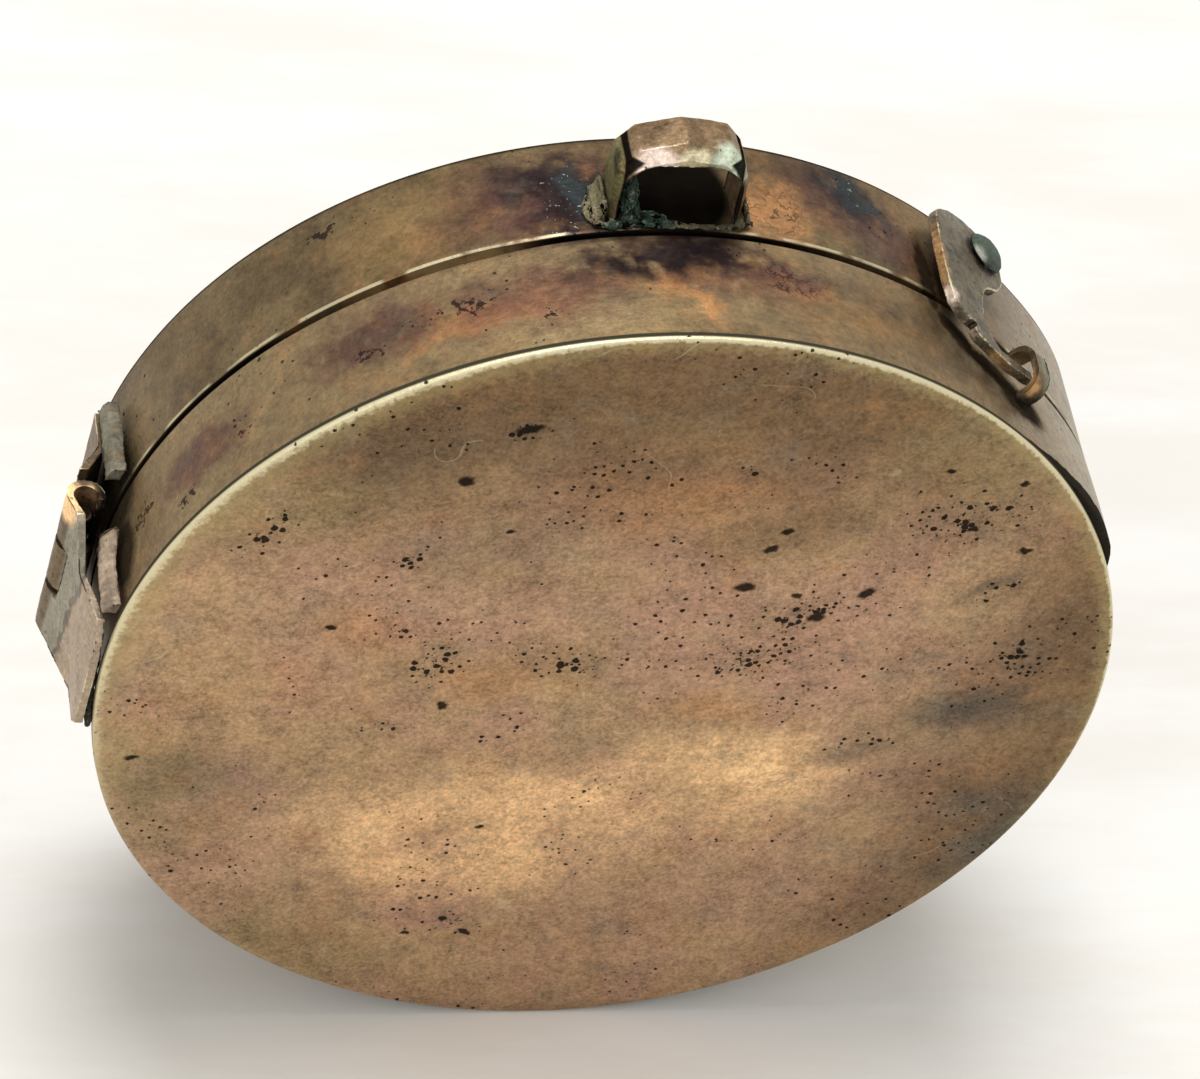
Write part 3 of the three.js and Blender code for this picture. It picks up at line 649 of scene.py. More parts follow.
def disc_material(c, name, marked):
    """Brown-gold sheet with stains and pits, and a painted highlight on its rim. Only the lid carries the
    marks that are seen on it, among them painted shade towards its top, right and bottom edge and a
    painted reflection low in its middle.
    """
    surface = Surface(name)
    mix, step, noise = surface.mix, surface.step, surface.noise
    flat, radius = flat_place(surface)
    ragged = surface.warped(flat, 4, 11)
    cloud = noise(9, detail=4, roughness=0.6)
    grain = grain_of(surface, 0.1)
    colour = mix(step(cloud, 0.36, 0.66), c.tan, c.pink)
    if marked:
        # Painted shade: darker towards the lid's top and right
        top = step(surface.z + (cloud - 0.5) * 12, 9, 25)
        right = step(surface.x + (cloud - 0.5) * 12 - surface.z * 0.15, 13, 29)
        colour = mix((top | right) * 0.9, colour, c.umber)
        stains = (
            (UMBER_SHADE, 0.6, c.umber),
            (PINKISH, 0.5, c.pink),
            (OLIVE, 0.7, c.olive),
            (GOLDEN_REFLECTION, 0.9, c.gold),
            (ORANGE_DISC, 0.45, c.heat_orange),
            (HAZE, 0.35, c.smoke),
            (SMOKY, 0.85, c.smoke),
        )
        colour = stained(surface, colour, ragged, stains, 0.95)
    tint = noise(2.6, detail=3, shift=77)
    colour = mix(step(tint, 0.52, 0.74) * 0.3, colour, c.rust)
    colour = mix(step(tint, 0.48, 0.26) * 0.3, colour, c.ash)
    colour, blotch = mottled(surface, colour, grain, 1.6)
    pits = surface.dots(0.5, step(cloud, 0.44, 0.6) * 0.34, 5)
    if marked:
        field = any_of(surface, surface.warped(flat, 2.0, 1.6), PIT_FIELDS, 0.95)
        pits = pits | surface.dots(0.45, field * 0.75, 29) | surface.specks(0.4, field * 1.05, 17)
        pits = pits | any_of(surface, surface.warped(flat, 0.5, 0.4), PITS, 0.5)
        colour = mix(field * 0.2, colour, c.smoke)
    # Painted highlight on the rounded rim over real wear: a bright line and a ring inside it, strongest at
    # the left and upper side and missing at the bottom
    left = step(surface.x, 2, -24)
    upper = step(surface.z, -14, 6)
    fringe = noise(0.4, detail=4, roughness=0.7, shift=71) - 0.5
    inward = RIM / MM - radius
    rim_highlight_and_wear = step(inward + fringe * 3.0, 1.3 + left * 1.3, 0.1) * (upper * 0.42 + 0.08)
    edge = step(inward + fringe * (0.5 + left * 0.9), 0.3 + left * 0.35, 0.1) * (upper * 0.8 + 0.1)
    colour = mix(rim_highlight_and_wear, colour, c.rim_glow)
    scratch = step((noise(8, detail=1, shift=3) - 0.5).maths("ABSOLUTE"), 0.0022, 0.0008)
    scratch = scratch * step(noise(3.5, detail=1, shift=63), 0.56, 0.6)
    colour = mix(scratch * 0.2, colour, c.bright)
    colour = mix(edge, colour, c.bright)
    if marked:
        # Painted shade and grime on the disc's side face, drawn with the pits
        flank_shade_and_grime = step(surface.y - LID_LOW.y / MM, 0.24, 0.4)
        pits = pits | flank_shade_and_grime
    colour = mix(pits * 0.93, colour, c.pit)
    rough = 0.42 + (blotch - 0.5) * 0.25 + pits * 0.4 - edge * 0.1
    normal = surface.bump(grain, 0.055)
    return surface.shaded(colour, rough, 0.75 - pits * 0.7, normal, Specular_IOR_Level=DULL)


def band_material(c):
    """The side walls: grey-brown, heat stained round the loop, lighter to the right as a painted
    reflection, with painted shade in the seam, behind the lid's rim, under the loop and beside the hook
    and hinge.
    """
    surface = Surface("aged_band")
    mix, step, noise = surface.mix, surface.step, surface.noise
    place, across = rolled_place(surface)
    ragged = surface.warped(place, 3.0, 1.6)
    cloud = noise(5, detail=4, roughness=0.6)
    grain = grain_of(surface)
    seam = (BODY_BAND_LOW.y + LID_BAND_HIGH.y) / (2 * MM)
    on_lid = step(surface.y, seam + 0.1, seam - 0.1)
    colour = mix(on_lid, c.band, c.band_lid)
    colour = mix(step(cloud, 0.4, 0.65) * 0.4, colour, c.olive)
    washes = ((BROWN_BAND, 0.85, c.band_brown), (GOLDEN_BAND, 0.7, c.band_gold))
    colour = stained(surface, colour, ragged, washes, 0.95, True)
    stains = (
        (ORANGE, 0.85, c.heat_orange),
        (PLUM, 0.75, c.heat_plum),
        (HEAT, 0.95, c.heat_dark),
        (SLATE, 0.7, c.slate),
    )
    colour = stained(surface, colour, ragged, stains, 0.7, True)
    # Painted reflection of the bright sky: the walls lighter towards the right
    colour = mix(step(across, 20, 33) * 0.9, colour, c.sky_reflection)
    net = (noise(1.1, detail=3, roughness=0.6, shift=87) - 0.5).maths("ABSOLUTE")
    netted = any_of(surface, ragged, ORANGE[:1] + ORANGE[3:4] + PLUM[6:], 0.95, True)
    colour = mix(step(net, 0.035, 0.01) * netted * 0.75, colour, c.heat_dark)
    warm = step(noise(2.4, detail=3, shift=77), 0.5, 0.72)
    cool = step(noise(1.8, detail=3, shift=53), 0.52, 0.74)
    colour = mix(warm * 0.3, colour, c.rust)
    colour = mix(cool * 0.3, colour, c.smoke)
    colour, blotch = mottled(surface, colour, grain, 1.35)
    spots = any_of(surface, surface.warped(place, 1.6, 0.7), SPOTS, 0.8, True)
    flecks = any_of(surface, ragged, SLATE + HEAT[:1], 0.6, True)
    pits = surface.dots(0.5, step(cloud, 0.5, 0.64) * 0.3, 5) | surface.specks(0.5, spots * 1.5, 17)
    salts = surface.specks(0.3, flecks * 0.75, 41)
    # Painted shade and grime on the band under the loop, seen through its eye
    grime_and_shade_under_loop = surface.patch(place, (0.2, 1.2, 0), (4.0, 4.4, 1), 0, 0.25)
    shadow_and_grime_marks = any_of(surface, surface.warped(place, 0.8, 0.7), SHADOW_AND_GRIME, 0.5, True)
    # Painted shade in the seam's gap
    seam_shade = step((surface.y - seam).maths("ABSOLUTE"), 0.3, 0.2)
    # Painted shadow on the band just behind the lid's rim, wider and uneven towards the right
    right = step(across, 14, 38)
    reach = 0.42 + right * 1.1 + (noise(1.2, shift=19) - 0.5) * right * 1.2
    rim_shadow = step(surface.y - LID_HIGH.y / MM - reach, 0.05, -0.1)
    # Painted highlight with some wear: a bright broken line along the body band's edge at the seam
    seam_wear_and_highlight = step((surface.y - seam - 0.4).maths("ABSOLUTE"), 0.16, 0.05)
    seam_wear_and_highlight = seam_wear_and_highlight * step(noise(3, shift=95), 0.42, 0.55)
    # Darker along the back edge of the body's band
    back_edge = step(surface.y - BODY_BAND_HIGH.y / MM, -0.3, -0.12)
    # All the painted shade and grime on the bands, drawn in the deep dark colour, rougher and not metallic
    shade_and_grime = grime_and_shade_under_loop | shadow_and_grime_marks * 0.9 | seam_shade | rim_shadow * 0.95 | back_edge * 0.8
    colour = mix(seam_wear_and_highlight * 0.6, colour, c.bright)
    colour = mix(pits * 0.85, colour, c.heat_dark)
    colour = mix(salts * 0.8, colour, c.salt)
    colour = mix(shade_and_grime * 0.97, colour, c.shade)
    fouled_and_shaded = pits | shade_and_grime
    rough = 0.42 + (blotch - 0.5) * 0.3 + fouled_and_shaded * 0.4
    normal = surface.bump(grain, 0.04)
    return surface.shaded(colour, rough, 0.75 - fouled_and_shaded * 0.74, normal, Specular_IOR_Level=DULL)


def loop_places(surface, colour, c):
    """Where the loop is brown, green, bright with wear and painted highlight, and black with painted shade
    in its eye. Places are from its eye's centre.
    """
    step = surface.step
    spots = (
        ((-3.9, 0, 0.2), (1.3, 3, 3.0), 1.0, c.loop_side),
        ((-1.9, 0.4, 3.2), (1.4, 0.8, 1.0), 0.4, c.fitting_dark),
        ((0.4, -0.6, 3.3), (0.7, 1.4, 0.6), 0.35, c.fitting_dark),
        # Painted highlight with real wear on the front facets and the right corner
        ((-1.9, -2.0, 2.5), (1.9, 1.5, 1.5), 1.0, c.bright_wear_and_highlight),
        ((0.3, -2.0, 2.9), (1.3, 1.2, 1.0), 1.0, c.bright),
        ((2.5, -1.8, 2.5), (1.8, 1.7, 1.8), 1.0, c.green_and_highlight),
        ((3.5, -1.9, 1.3), (0.9, 0.9, 1.5), 1.0, c.green_and_highlight),
        ((2.3, -1.8, 2.7), (0.5, 0.3, 0.2), 0.6, c.slate),
        ((2.8, -1.8, 2.2), (0.5, 0.3, 0.15), 0.6, c.slate),
        ((-3.9, -0.6, 2.0), (0.55, 2.0, 1.5), 0.9, c.fitting_dark),
    )
    colour = painted(surface, colour, surface.warped(surface.place, 0.9, 0.8), spots, 0.5)
    # Painted shade: black inside the eye and on its inner right wall
    inside = step(surface.x.maths("ABSOLUTE"), 3.44, 3.34) * step(surface.z, 2.42, 2.3)
    inside = inside * step(surface.y, -1.68, -1.5)
    inside = inside | surface.patch(surface.place, (3.4, -1.6, -0.8), (0.3, 0.9, 2.2), 0, 0.3)
    return surface.mix(inside * 0.97, colour, c.shade), inside


def at_rivet(across, up, out):
    """A place in millimetres: across the hook and up it from the rivet, and out from the wall."""
    radial = -RIVET_AXIS
    tangent = Vector((radial.z, 0, -radial.x))
    return RIVET / MM + tangent * across + radial * out + Vector((0, up, 0))


def hook_places(surface, colour, c):
    """The hook's gilded cut edge and its brightest spots, partly worn and partly painted highlight."""
    spots = (
        (at_rivet(-5.0, -2.6, 0.9), (0.75, 4.4, 0.75), 0.9, c.cut_edge_and_highlight),
        (at_rivet(-3.4, -7.9, 0.8), (1.0, 0.9, 0.9), 0.8, c.fitting_pink),
        (at_rivet(-1.0, -9.1, 0.8), (1.6, 0.7, 1.4), 0.5, c.cut_edge_and_highlight),
        (at_rivet(-5.0, -6.4, 0.9), (0.9, 1.1, 0.9), 1.0, c.bright_wear_and_highlight),
        (at_rivet(0.0, -0.1, 1.4), (1.9, 1.8, 1.9), 0.75, c.fitting_dark),
        (at_rivet(-2.6, 1.2, 1.4), (1.5, 1.0, 1.4), 0.5, c.fitting_grey),
    )
    return painted(surface, colour, surface.warped(surface.place, 0.7, 0.6), spots, 0.7), 0.0


def rivet_places(surface, colour, c):
    """A painted highlight: the bright crescent at the head's lower left."""
    spots = ((at_rivet(-1.0, -0.9, 1.4), (0.7, 0.9, 0.7), 0.9, c.salt),)
    return painted(surface, colour, surface.warped(surface.place, 0.4, 0.4), spots, 0.6), 0.0


def staple_places(surface, colour, c):
    """The staple is grey-green outside, bright along its near edge and dark at its foot."""
    low, high = (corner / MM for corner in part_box("latch_staple"))
    crest = (low + high) / 2
    spots = (
        ((high.x, crest.y, crest.z), (1.0, 2.6, 1.6), 0.8, c.staple_side),
        ((low.x + 0.9, low.y + 0.9, high.z - 0.9), (0.7, 1.4, 0.9), 0.85, c.cut_edge_and_highlight),
        ((crest.x, low.y, low.z + 0.4), (1.6, 0.9, 1.0), 0.85, c.fitting_dark),
    )
    return painted(surface, colour, surface.warped(surface.place, 0.6, 0.6), spots, 0.6), 0.0


def crust_places(surface, colour, c):
    """Green in the eye's left half, yellow-grey round the left foot, darker towards the right one."""
    mix, step, specks = surface.mix, surface.step, surface.specks
    place = surface.x + (surface.noise(0.9, shift=23) - 0.5) * 2
    green = step(place, 0.8, -0.6) * step(place, -4.1, -3.7)
    colour = mix(green, c.crust, c.verdigris)
    colour = mix(step(place, 0.6, 1.6) * 0.6, colour, c.solder_dark)
    colour = mix(specks(0.4, 1.0, 57) * green * 0.8, colour, c.speckle)
    colour = mix(specks(0.35, 1.0, 61) * 0.5, colour, c.salt)
    holes = specks(0.7, 1.2, 33)
    return mix(holes, colour, c.shade), holes


# Lumps of corrosion round the loop's feet: centre from its eye and radii, in millimetres
CRUST = (
    ((-2.75, -0.5, -0.9), (0.75, 1.3, 1.7)),
    ((-2.55, -0.8, -1.9), (0.85, 1.1, 0.9)),
    ((-1.5, -1.1, -2.3), (1.4, 0.8, 0.4)),
    ((-0.3, -1.5, -2.3), (1.2, 0.5, 0.32)),
    ((-3.5, -1.5, -2.3), (0.8, 0.5, 0.5)),
    ((-2.8, -1.6, -2.3), (0.9, 0.4, 0.4)),
    ((0.9, -1.6, -2.28), (0.9, 0.35, 0.25)),
    ((2.0, -1.6, -2.34), (0.9, 0.35, 0.3)),
    ((3.0, -1.6, -2.4), (0.6, 0.38, 0.42)),
    ((3.75, -1.3, -2.3), (0.45, 0.6, 0.6)),
    ((-4.2, -0.9, -2.3), (0.6, 0.9, 0.7)),
    ((-4.5, -0.2, -2.5), (0.6, 1.3, 0.45)),
    ((-4.1, -1.2, -1.4), (0.35, 0.5, 0.8)),
)
# Dark lumps standing in for shade and grime between the lid leaf's foot and the disc's rim: centre from
# the eye and radii, in millimetres
GAP_SHADE_AND_GRIME = (
    ((-30.0, -9.7, -34.2), (0.45, 0.55, 1.3)),
    ((-30.1, -9.7, -32.8), (0.45, 0.55, 1.3)),
    ((-30.1, -9.7, -31.2), (0.45, 0.55, 1.4)),
    ((-30.1, -9.6, -29.4), (0.45, 0.6, 1.4)),
    ((-30.1, -9.6, -27.6), (0.45, 0.6, 1.4)),
)
# The border between the lid leaf's two tones, as a plane through the main view
LEAF_BORDER = ((-0.9419, 0.3105, 0.1281), 23.78)


def leaf_places(surface, colour, c):
    """The lid leaf's grey slope and pinkish foot, and the bright strip of its barrel."""
    mix, step, patch = surface.mix, surface.step, surface.patch
    place = surface.warped(surface.place, 1.2, 1.2)
    axis = Vector(JOINTS["lid_swing"]["pos_m"]) / MM
    (across, back, up), offset = LEAF_BORDER
    side = surface.x * across + surface.y * back + surface.z * up - offset
    side = side + (surface.noise(1.4, shift=37) - 0.5) * 1.2
    on_lid = step(surface.y, axis.y - 0.8, axis.y - 1.2)
    foot = step(side, 0.1, -0.1)
    colour = mix(on_lid, colour, c.fitting_grey)
    colour = mix(on_lid * foot, colour, c.fitting_pink)
    border = step(side.maths("ABSOLUTE"), 0.22, 0.05)
    colour = mix(border * on_lid * 0.55, colour, c.fitting_dark)
    worn = patch(place, (axis.x - 0.4, axis.y - 0.2, axis.z + 5.0), (2.0, 1.6, 1.5), 0, 0.5)
    colour = mix(worn * 0.9, colour, c.gold)
    # Painted shade on the leaf's side towards the band, next to the barrel
    shaded = patch(place, (axis.x + 1.9, axis.y, axis.z + 2.5), (1.7, 3.0, 5.0), 0, 0.4)
    return mix(shaded * 0.95, colour, c.shade), shaded


# The fittings' metals: main, dark, edge and second colour, roughness, metallic share, unevenness and
# what is painted in places
FITTINGS = {
    "aged_loop": ("loop_top", "fitting_dark", "bright", None, 0.34, 0.55, 2.0, loop_places),
    "aged_solder": ("solder", "solder_dark", "salt", "fitting", 0.6, 0.4, 1.4, None),
    "browned_solder": ("fitting_pink", "solder_dark", "salt", None, 0.6, 0.4, 1.4, None),
    "crusted_solder": ("crust", "solder_dark", "salt", "verdigris", 0.75, 0.15, 1.4, None),
    "green_crust": ("verdigris", "pit", "crust", None, 0.8, 0.05, 1.4, crust_places),
    "leaf_dirt": ("smoke", "pit", "ash", "slate", 0.8, 0.0, 1.4, None),
    "aged_leaf": ("fitting", "fitting_dark", "bright", None, 0.42, 0.78, 1.4, leaf_places),
    "aged_pin": ("fitting_dark", "pit", "fitting", None, 0.5, 0.78, 1.4, None),
    "aged_rivet": ("rivet", "fitting_dark", "salt", None, 0.5, 0.4, 1.4, rivet_places),
    "aged_hook": ("hook", "fitting_dark", "bright", "fitting", 0.4, 0.78, 2.0, hook_places),
    "aged_staple": ("fitting", "fitting_dark", "bright", None, 0.4, 0.78, 1.4, staple_places),
}


def fitting_metal(name, c):
    """The fittings' metal of that name, made once, with grime in its hollows and bright edges."""
    if name in bpy.data.materials:
        return bpy.data.materials[name]
    *tones, rough, metallic, uneven, placed = FITTINGS[name]
    main, dark, bright, second = (key and getattr(c, key) for key in tones)
    surface = Surface(name, Vector())
    mix, step = surface.mix, surface.step
    wear = surface.node("ShaderNodeAttribute", output="Fac", attribute_name="wear")
    cloud = surface.noise(1.6, detail=4, roughness=0.6)
    grain = grain_of(surface)
    colour = mix(step(cloud, 0.34, 0.52), surface.shade(main, 0.62), main)
    if second:
        colour = mix(step(surface.noise(1.2, shift=91), 0.5, 0.66) * 0.8, colour, second)
    # What the places mark black: painted shade in the loop's eye and on the leaf's side towards the band,
    # and holes in the crust
    caked_and_shaded = 0.0
    if placed:
        colour, caked_and_shaded = placed(surface, colour, c)
    colour, blotch = mottled(surface, colour, grain, uneven)
    hollow = step(wear + (blotch - 0.5) * 0.8, -0.1, -0.7)
    edge = step(wear + (grain - 0.5) * 1.6 + (blotch - 0.5) * 2.6, 0.5, 1.1)
    fouled_and_shaded = surface.specks(0.4, 0.62, 5)
    colour = mix(hollow * 0.85, colour, dark)
    colour = mix(edge * 0.8, colour, bright)
    colour = mix(fouled_and_shaded * 0.8, colour, dark)
    fouled_and_shaded = fouled_and_shaded | caked_and_shaded
    rough = rough + (cloud - 0.5) * 0.3 - edge * 0.12 + fouled_and_shaded * 0.2
    normal = surface.bump(grain - fouled_and_shaded * 0.5, 0.05)
    return surface.shaded(colour, rough, (1 - fouled_and_shaded) * metallic, normal, Specular_IOR_Level=DULL)


def plain_material(name, first, second, size, rough, metallic=0.0, depth=0.03, stretch=(1, 1, 1), **fixed):
    """Two tones in a noise, for pieces that are seen when the case is open."""
    surface = Surface(name)
    tones = surface.noise(size, detail=5, roughness=0.6, stretch=stretch)
    colour = surface.mix(surface.step(tones, 0.35, 0.65), first, second)
    return surface.shaded(
        colour, rough + (tones - 0.5) * 0.2, metallic, surface.bump(tones, depth), **fixed
    )


def colours_of(context):
    return context.scene.reliquary_colours


def form_of(context):
    return context.scene.reliquary_form


class RELIQUARY_OT_discs(bpy.types.Operator):
    """Builds the two discs with their worn rims"""

    bl_idname = "reliquary.discs"
    bl_label = "Discs"

    def execute(self, context):
        form, c = form_of(context), colours_of(context)
        for node, body, outer, inner, wear, depth, marked in (
            ("lid_plate", "lid", LID_LOW.y, LID_HIGH.y, form.rim_wear, form.rim_depth, True),
            ("body_plate", "body", BACK_HIGH.y, BACK_LOW.y, form.back_edge, form.back_edge, False),
        ):
            low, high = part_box(node)
            edge = (high.x - low.x) / 2
            way = 1 if inner > outer else -1
            flat_end = edge - wear
            profile = stretched((0, outer), (flat_end, outer), DISC_RINGS)
            for step in range(RIM_STEPS):
                turn = math.pi / 2 * step / RIM_STEPS
                sunk = depth * (1 - math.cos(turn))
                profile.append((flat_end + wear * math.sin(turn), outer + way * sunk))
            profile += [(edge, outer + way * depth), (edge, inner - way * form.edge_break)]
            profile += stretched((edge - form.edge_break, inner), (0, inner), INNER_RINGS)
            profile.append((0, inner))
            bm = turned(profile, form.turn_steps)

            def outside(vert, outer=outer, way=way, depth=depth):
                return (vert.co.y - outer) * way < depth

            press_in(bm, form.disc_dents, DISC_WAVES, wanted=outside)
            press_in(bm, form.disc_dents / 3, DISC_RIPPLES, seed=5, wanted=outside)
            soften(bm)
            name = "disc_" + body
            look = disc_material(c, "aged_" + name, marked)
            finish_piece(name, mesh_of(bm, name), body, "disc_brass", look, node)
        return {"FINISHED"}


class RELIQUARY_OT_bands(bpy.types.Operator):
    """Builds the two bands with their uneven seam"""

    bl_idname = "reliquary.bands"
    bl_label = "Bands"

    def execute(self, context):
        form = form_of(context)
        look = band_material(colours_of(context))
        outer, inner, soft = BAND_RADIUS, BAND_RADIUS - form.band_wall, form.edge_break

        def outside(vert):
            return (vert.co - AXIS).xz.length > outer - soft / 2

        for node, low, high, seam in (
            ("lid_band", LID_BAND_LOW.y, LID_BAND_HIGH.y, LID_BAND_HIGH.y),
            ("body_band", BODY_BAND_LOW.y, BODY_BAND_HIGH.y, BODY_BAND_LOW.y),
        ):
            body = node.split("_")[0]
            profile = [(inner, low), (outer - soft, low)]
            profile += stretched((outer, low + soft), (outer, high - soft), BAND_RINGS)
            profile += [(outer, high - soft), (outer - soft, high), (inner, high)]
            bm = turned(profile, form.turn_steps, closed=True)
            press_in(bm, form.band_dents, BAND_WAVES, seed=3, wanted=outside)
            for vert in bm.verts:
                self.bend(vert, form, body, seam, 1 if seam == low else -1)
            soften(bm)
            mesh = mesh_of(bm, node + "_fine")
            if node == "body_band":
                mesh = self.drilled(mesh, form.rivet_hole)
            finish_piece("wall_" + body, mesh, body, "band_brass", look, node)
        return {"FINISHED"}

    def bend(self, vert, form, body, seam, away):
        """Moves a place of a band: along the drum near the seam, and outwards beside the latch."""
        spoke = vert.co - AXIS
        degrees = math.degrees(math.atan2(spoke.x, spoke.z))
        near = max(0, 1 - abs(vert.co.y - seam) / SEAM_REACH)
        opening = np.interp(degrees, *zip(*SEAM_GAPS)) * MM
        opening += form.seam_waver * (waver(vert.co, SEAM_WAVES, away) * 2 - 1)
        vert.co.y += away * near * opening
        spoke.y = 0
        front = max(0, (LID_BAND_HIGH.y - vert.co.y) / (LID_BAND_HIGH.y - LID_BAND_LOW.y))
        past = degrees - SWELL_MIDDLE + SWELL_LEAN * front
        reach = SWELL_REACH + (SWELL_END - SWELL_REACH) * front * (past > 0)
        share = max(0, 1 - abs(past) / reach)
        if spoke.length < BAND_RADIUS - form.edge_break - TINY:
            share *= 0.5 if body == "lid" else 0
        vert.co += spoke.normalized() * form.swell * math.sin(share * math.pi / 2) ** 2

    def drilled(self, mesh, radius):
        """Cuts the rivet's hole."""
        bm = bmesh.new()
        bmesh.ops.create_cone(
            bm, cap_ends=True, segments=DRILL_SIDES, radius1=radius, radius2=radius, depth=DRILL_LENGTH
        )
        turn = RIVET_AXIS.to_track_quat("Z", "Y").to_matrix().to_4x4()
        at_band = AXIS - RIVET_AXIS * BAND_RADIUS
        at_band.y = RIVET.y
        bmesh.ops.transform(bm, matrix=Matrix.Translation(at_band) @ turn, verts=bm.verts)
        cutter = bpy.data.objects.new("drill", mesh_of(bm, "drill"))
        bpy.context.scene.collection.objects.link(cutter)
        made = with_modifiers(mesh, ("BOOLEAN", {"operation": "DIFFERENCE", "object": cutter}))
        bpy.data.objects.remove(cutter)
        return made


class RELIQUARY_OT_loop(bpy.types.Operator):
    """Builds the suspension loop, its solder and the crust round its feet"""

    bl_idname = "reliquary.loop"
    bl_label = "Loop"

    def execute(self, context):
        form, c = form_of(context), colours_of(context)
        hammer, lumpy = form.loop_hammer, form.solder_lumps
        for node, name, slot, metal, smoothing, dents, dent_size, grain in (
            ("suspension_loop", "loop", "loop_brass", "aged_loop", 5, hammer, 1.3, 0.03),
            ("loop_solder_left", "fillet_left", "solder", "crusted_solder", 10, lumpy, 0.6, 0.1),
            ("loop_solder_right", "fillet_right", "solder", "crusted_solder", 10, lumpy, 0.6, 0.1),
            ("loop_solder_eye", "fillet_eye", "solder", "green_crust", 10, lumpy, 0.6, 0.1),
        ):
            shape = (form.fine_voxel, smoothing, dents, dent_size * MM, grain * MM)
            sculpted_piece(node, name, "body", slot, fitting_metal(metal, c), *shape)
        mesh = lumps("loop_crust", CRUST, form)
        edge = BODY_BAND_LOW.y + form.edge_break / 2
        for vert in mesh.vertices:
            vert.co.y = max(vert.co.y, edge + (vert.co.y - edge) * CRUST_LEFT)
        finish_piece("loop_crust", mesh, "body", "solder", fitting_metal("green_crust", c))
        return {"FINISHED"}


class RELIQUARY_OT_hinge(bpy.types.Operator):
    """Builds the hinge's leaves, their solder and the pin"""

    bl_idname = "reliquary.hinge"
    bl_label = "Hinge"

    def execute(self, context):
        form, c = form_of(context), colours_of(context)
        # Each shape: grid, smoothing, the dents' depth and size, and the grain's depth
        sheet = (form.fine_voxel, 3, 0.1 * MM, 2.0 * MM, 0.02 * MM)
        strip = (form.strip_voxel, 24, form.strip_lumps, 1.1 * MM, 0.1 * MM)
        for node, name, body, slot, metal, shape in (
            ("hinge_leaf_body", "leaf_body", "body", "fitting_brass", "aged_leaf", sheet),
            ("hinge_body_solder", "leaf_body_solder", "body", "solder", "aged_solder", strip),
            ("hinge_leaf_lid", "leaf_lid", "lid", "fitting_brass", "aged_leaf", sheet),
            ("hinge_lid_solder", "leaf_lid_solder", "lid", "solder", "browned_solder", strip),
        ):
            sculpted_piece(node, name, body, slot, fitting_metal(metal, c), *shape)
        shade_and_grime, wire = fitting_metal("leaf_dirt", c), fitting_metal("aged_pin", c)
        finish_piece("leaf_grime", lumps("leaf_grime", GAP_SHADE_AND_GRIME, form), "lid", "solder", shade_and_grime)
        sculpted_piece("hinge_pin", "pin", "body", "pin_brass", wire, form.fine_voxel, 3)
        return {"FINISHED"}


class RELIQUARY_OT_latch(bpy.types.Operator):
    """Builds the hook, rivet, washer and staple"""

    bl_idname = "reliquary.latch"
    bl_label = "Latch"

    def execute(self, context):
        voxel, c = form_of(context).fine_voxel * 0.8, colours_of(context)
        for node, name, body, slot, metal, dents in (
            ("latch_hook", "hook", "hook", "fitting_brass", "aged_hook", 0.12),
            ("hook_rivet", "rivet", "body", "rivet", "aged_rivet", 0.1),
            ("hook_washer", "washer", "body", "pin_brass", "aged_pin", 0.03),
            ("latch_staple", "staple", "lid", "fitting_brass", "aged_staple", 0.12),
        ):
            shape = (voxel, 3, dents * MM, 0.9 * MM, 0.02 * MM)
            sculpted_piece(node, name, body, slot, fitting_metal(metal, c), *shape)
        return {"FINISHED"}


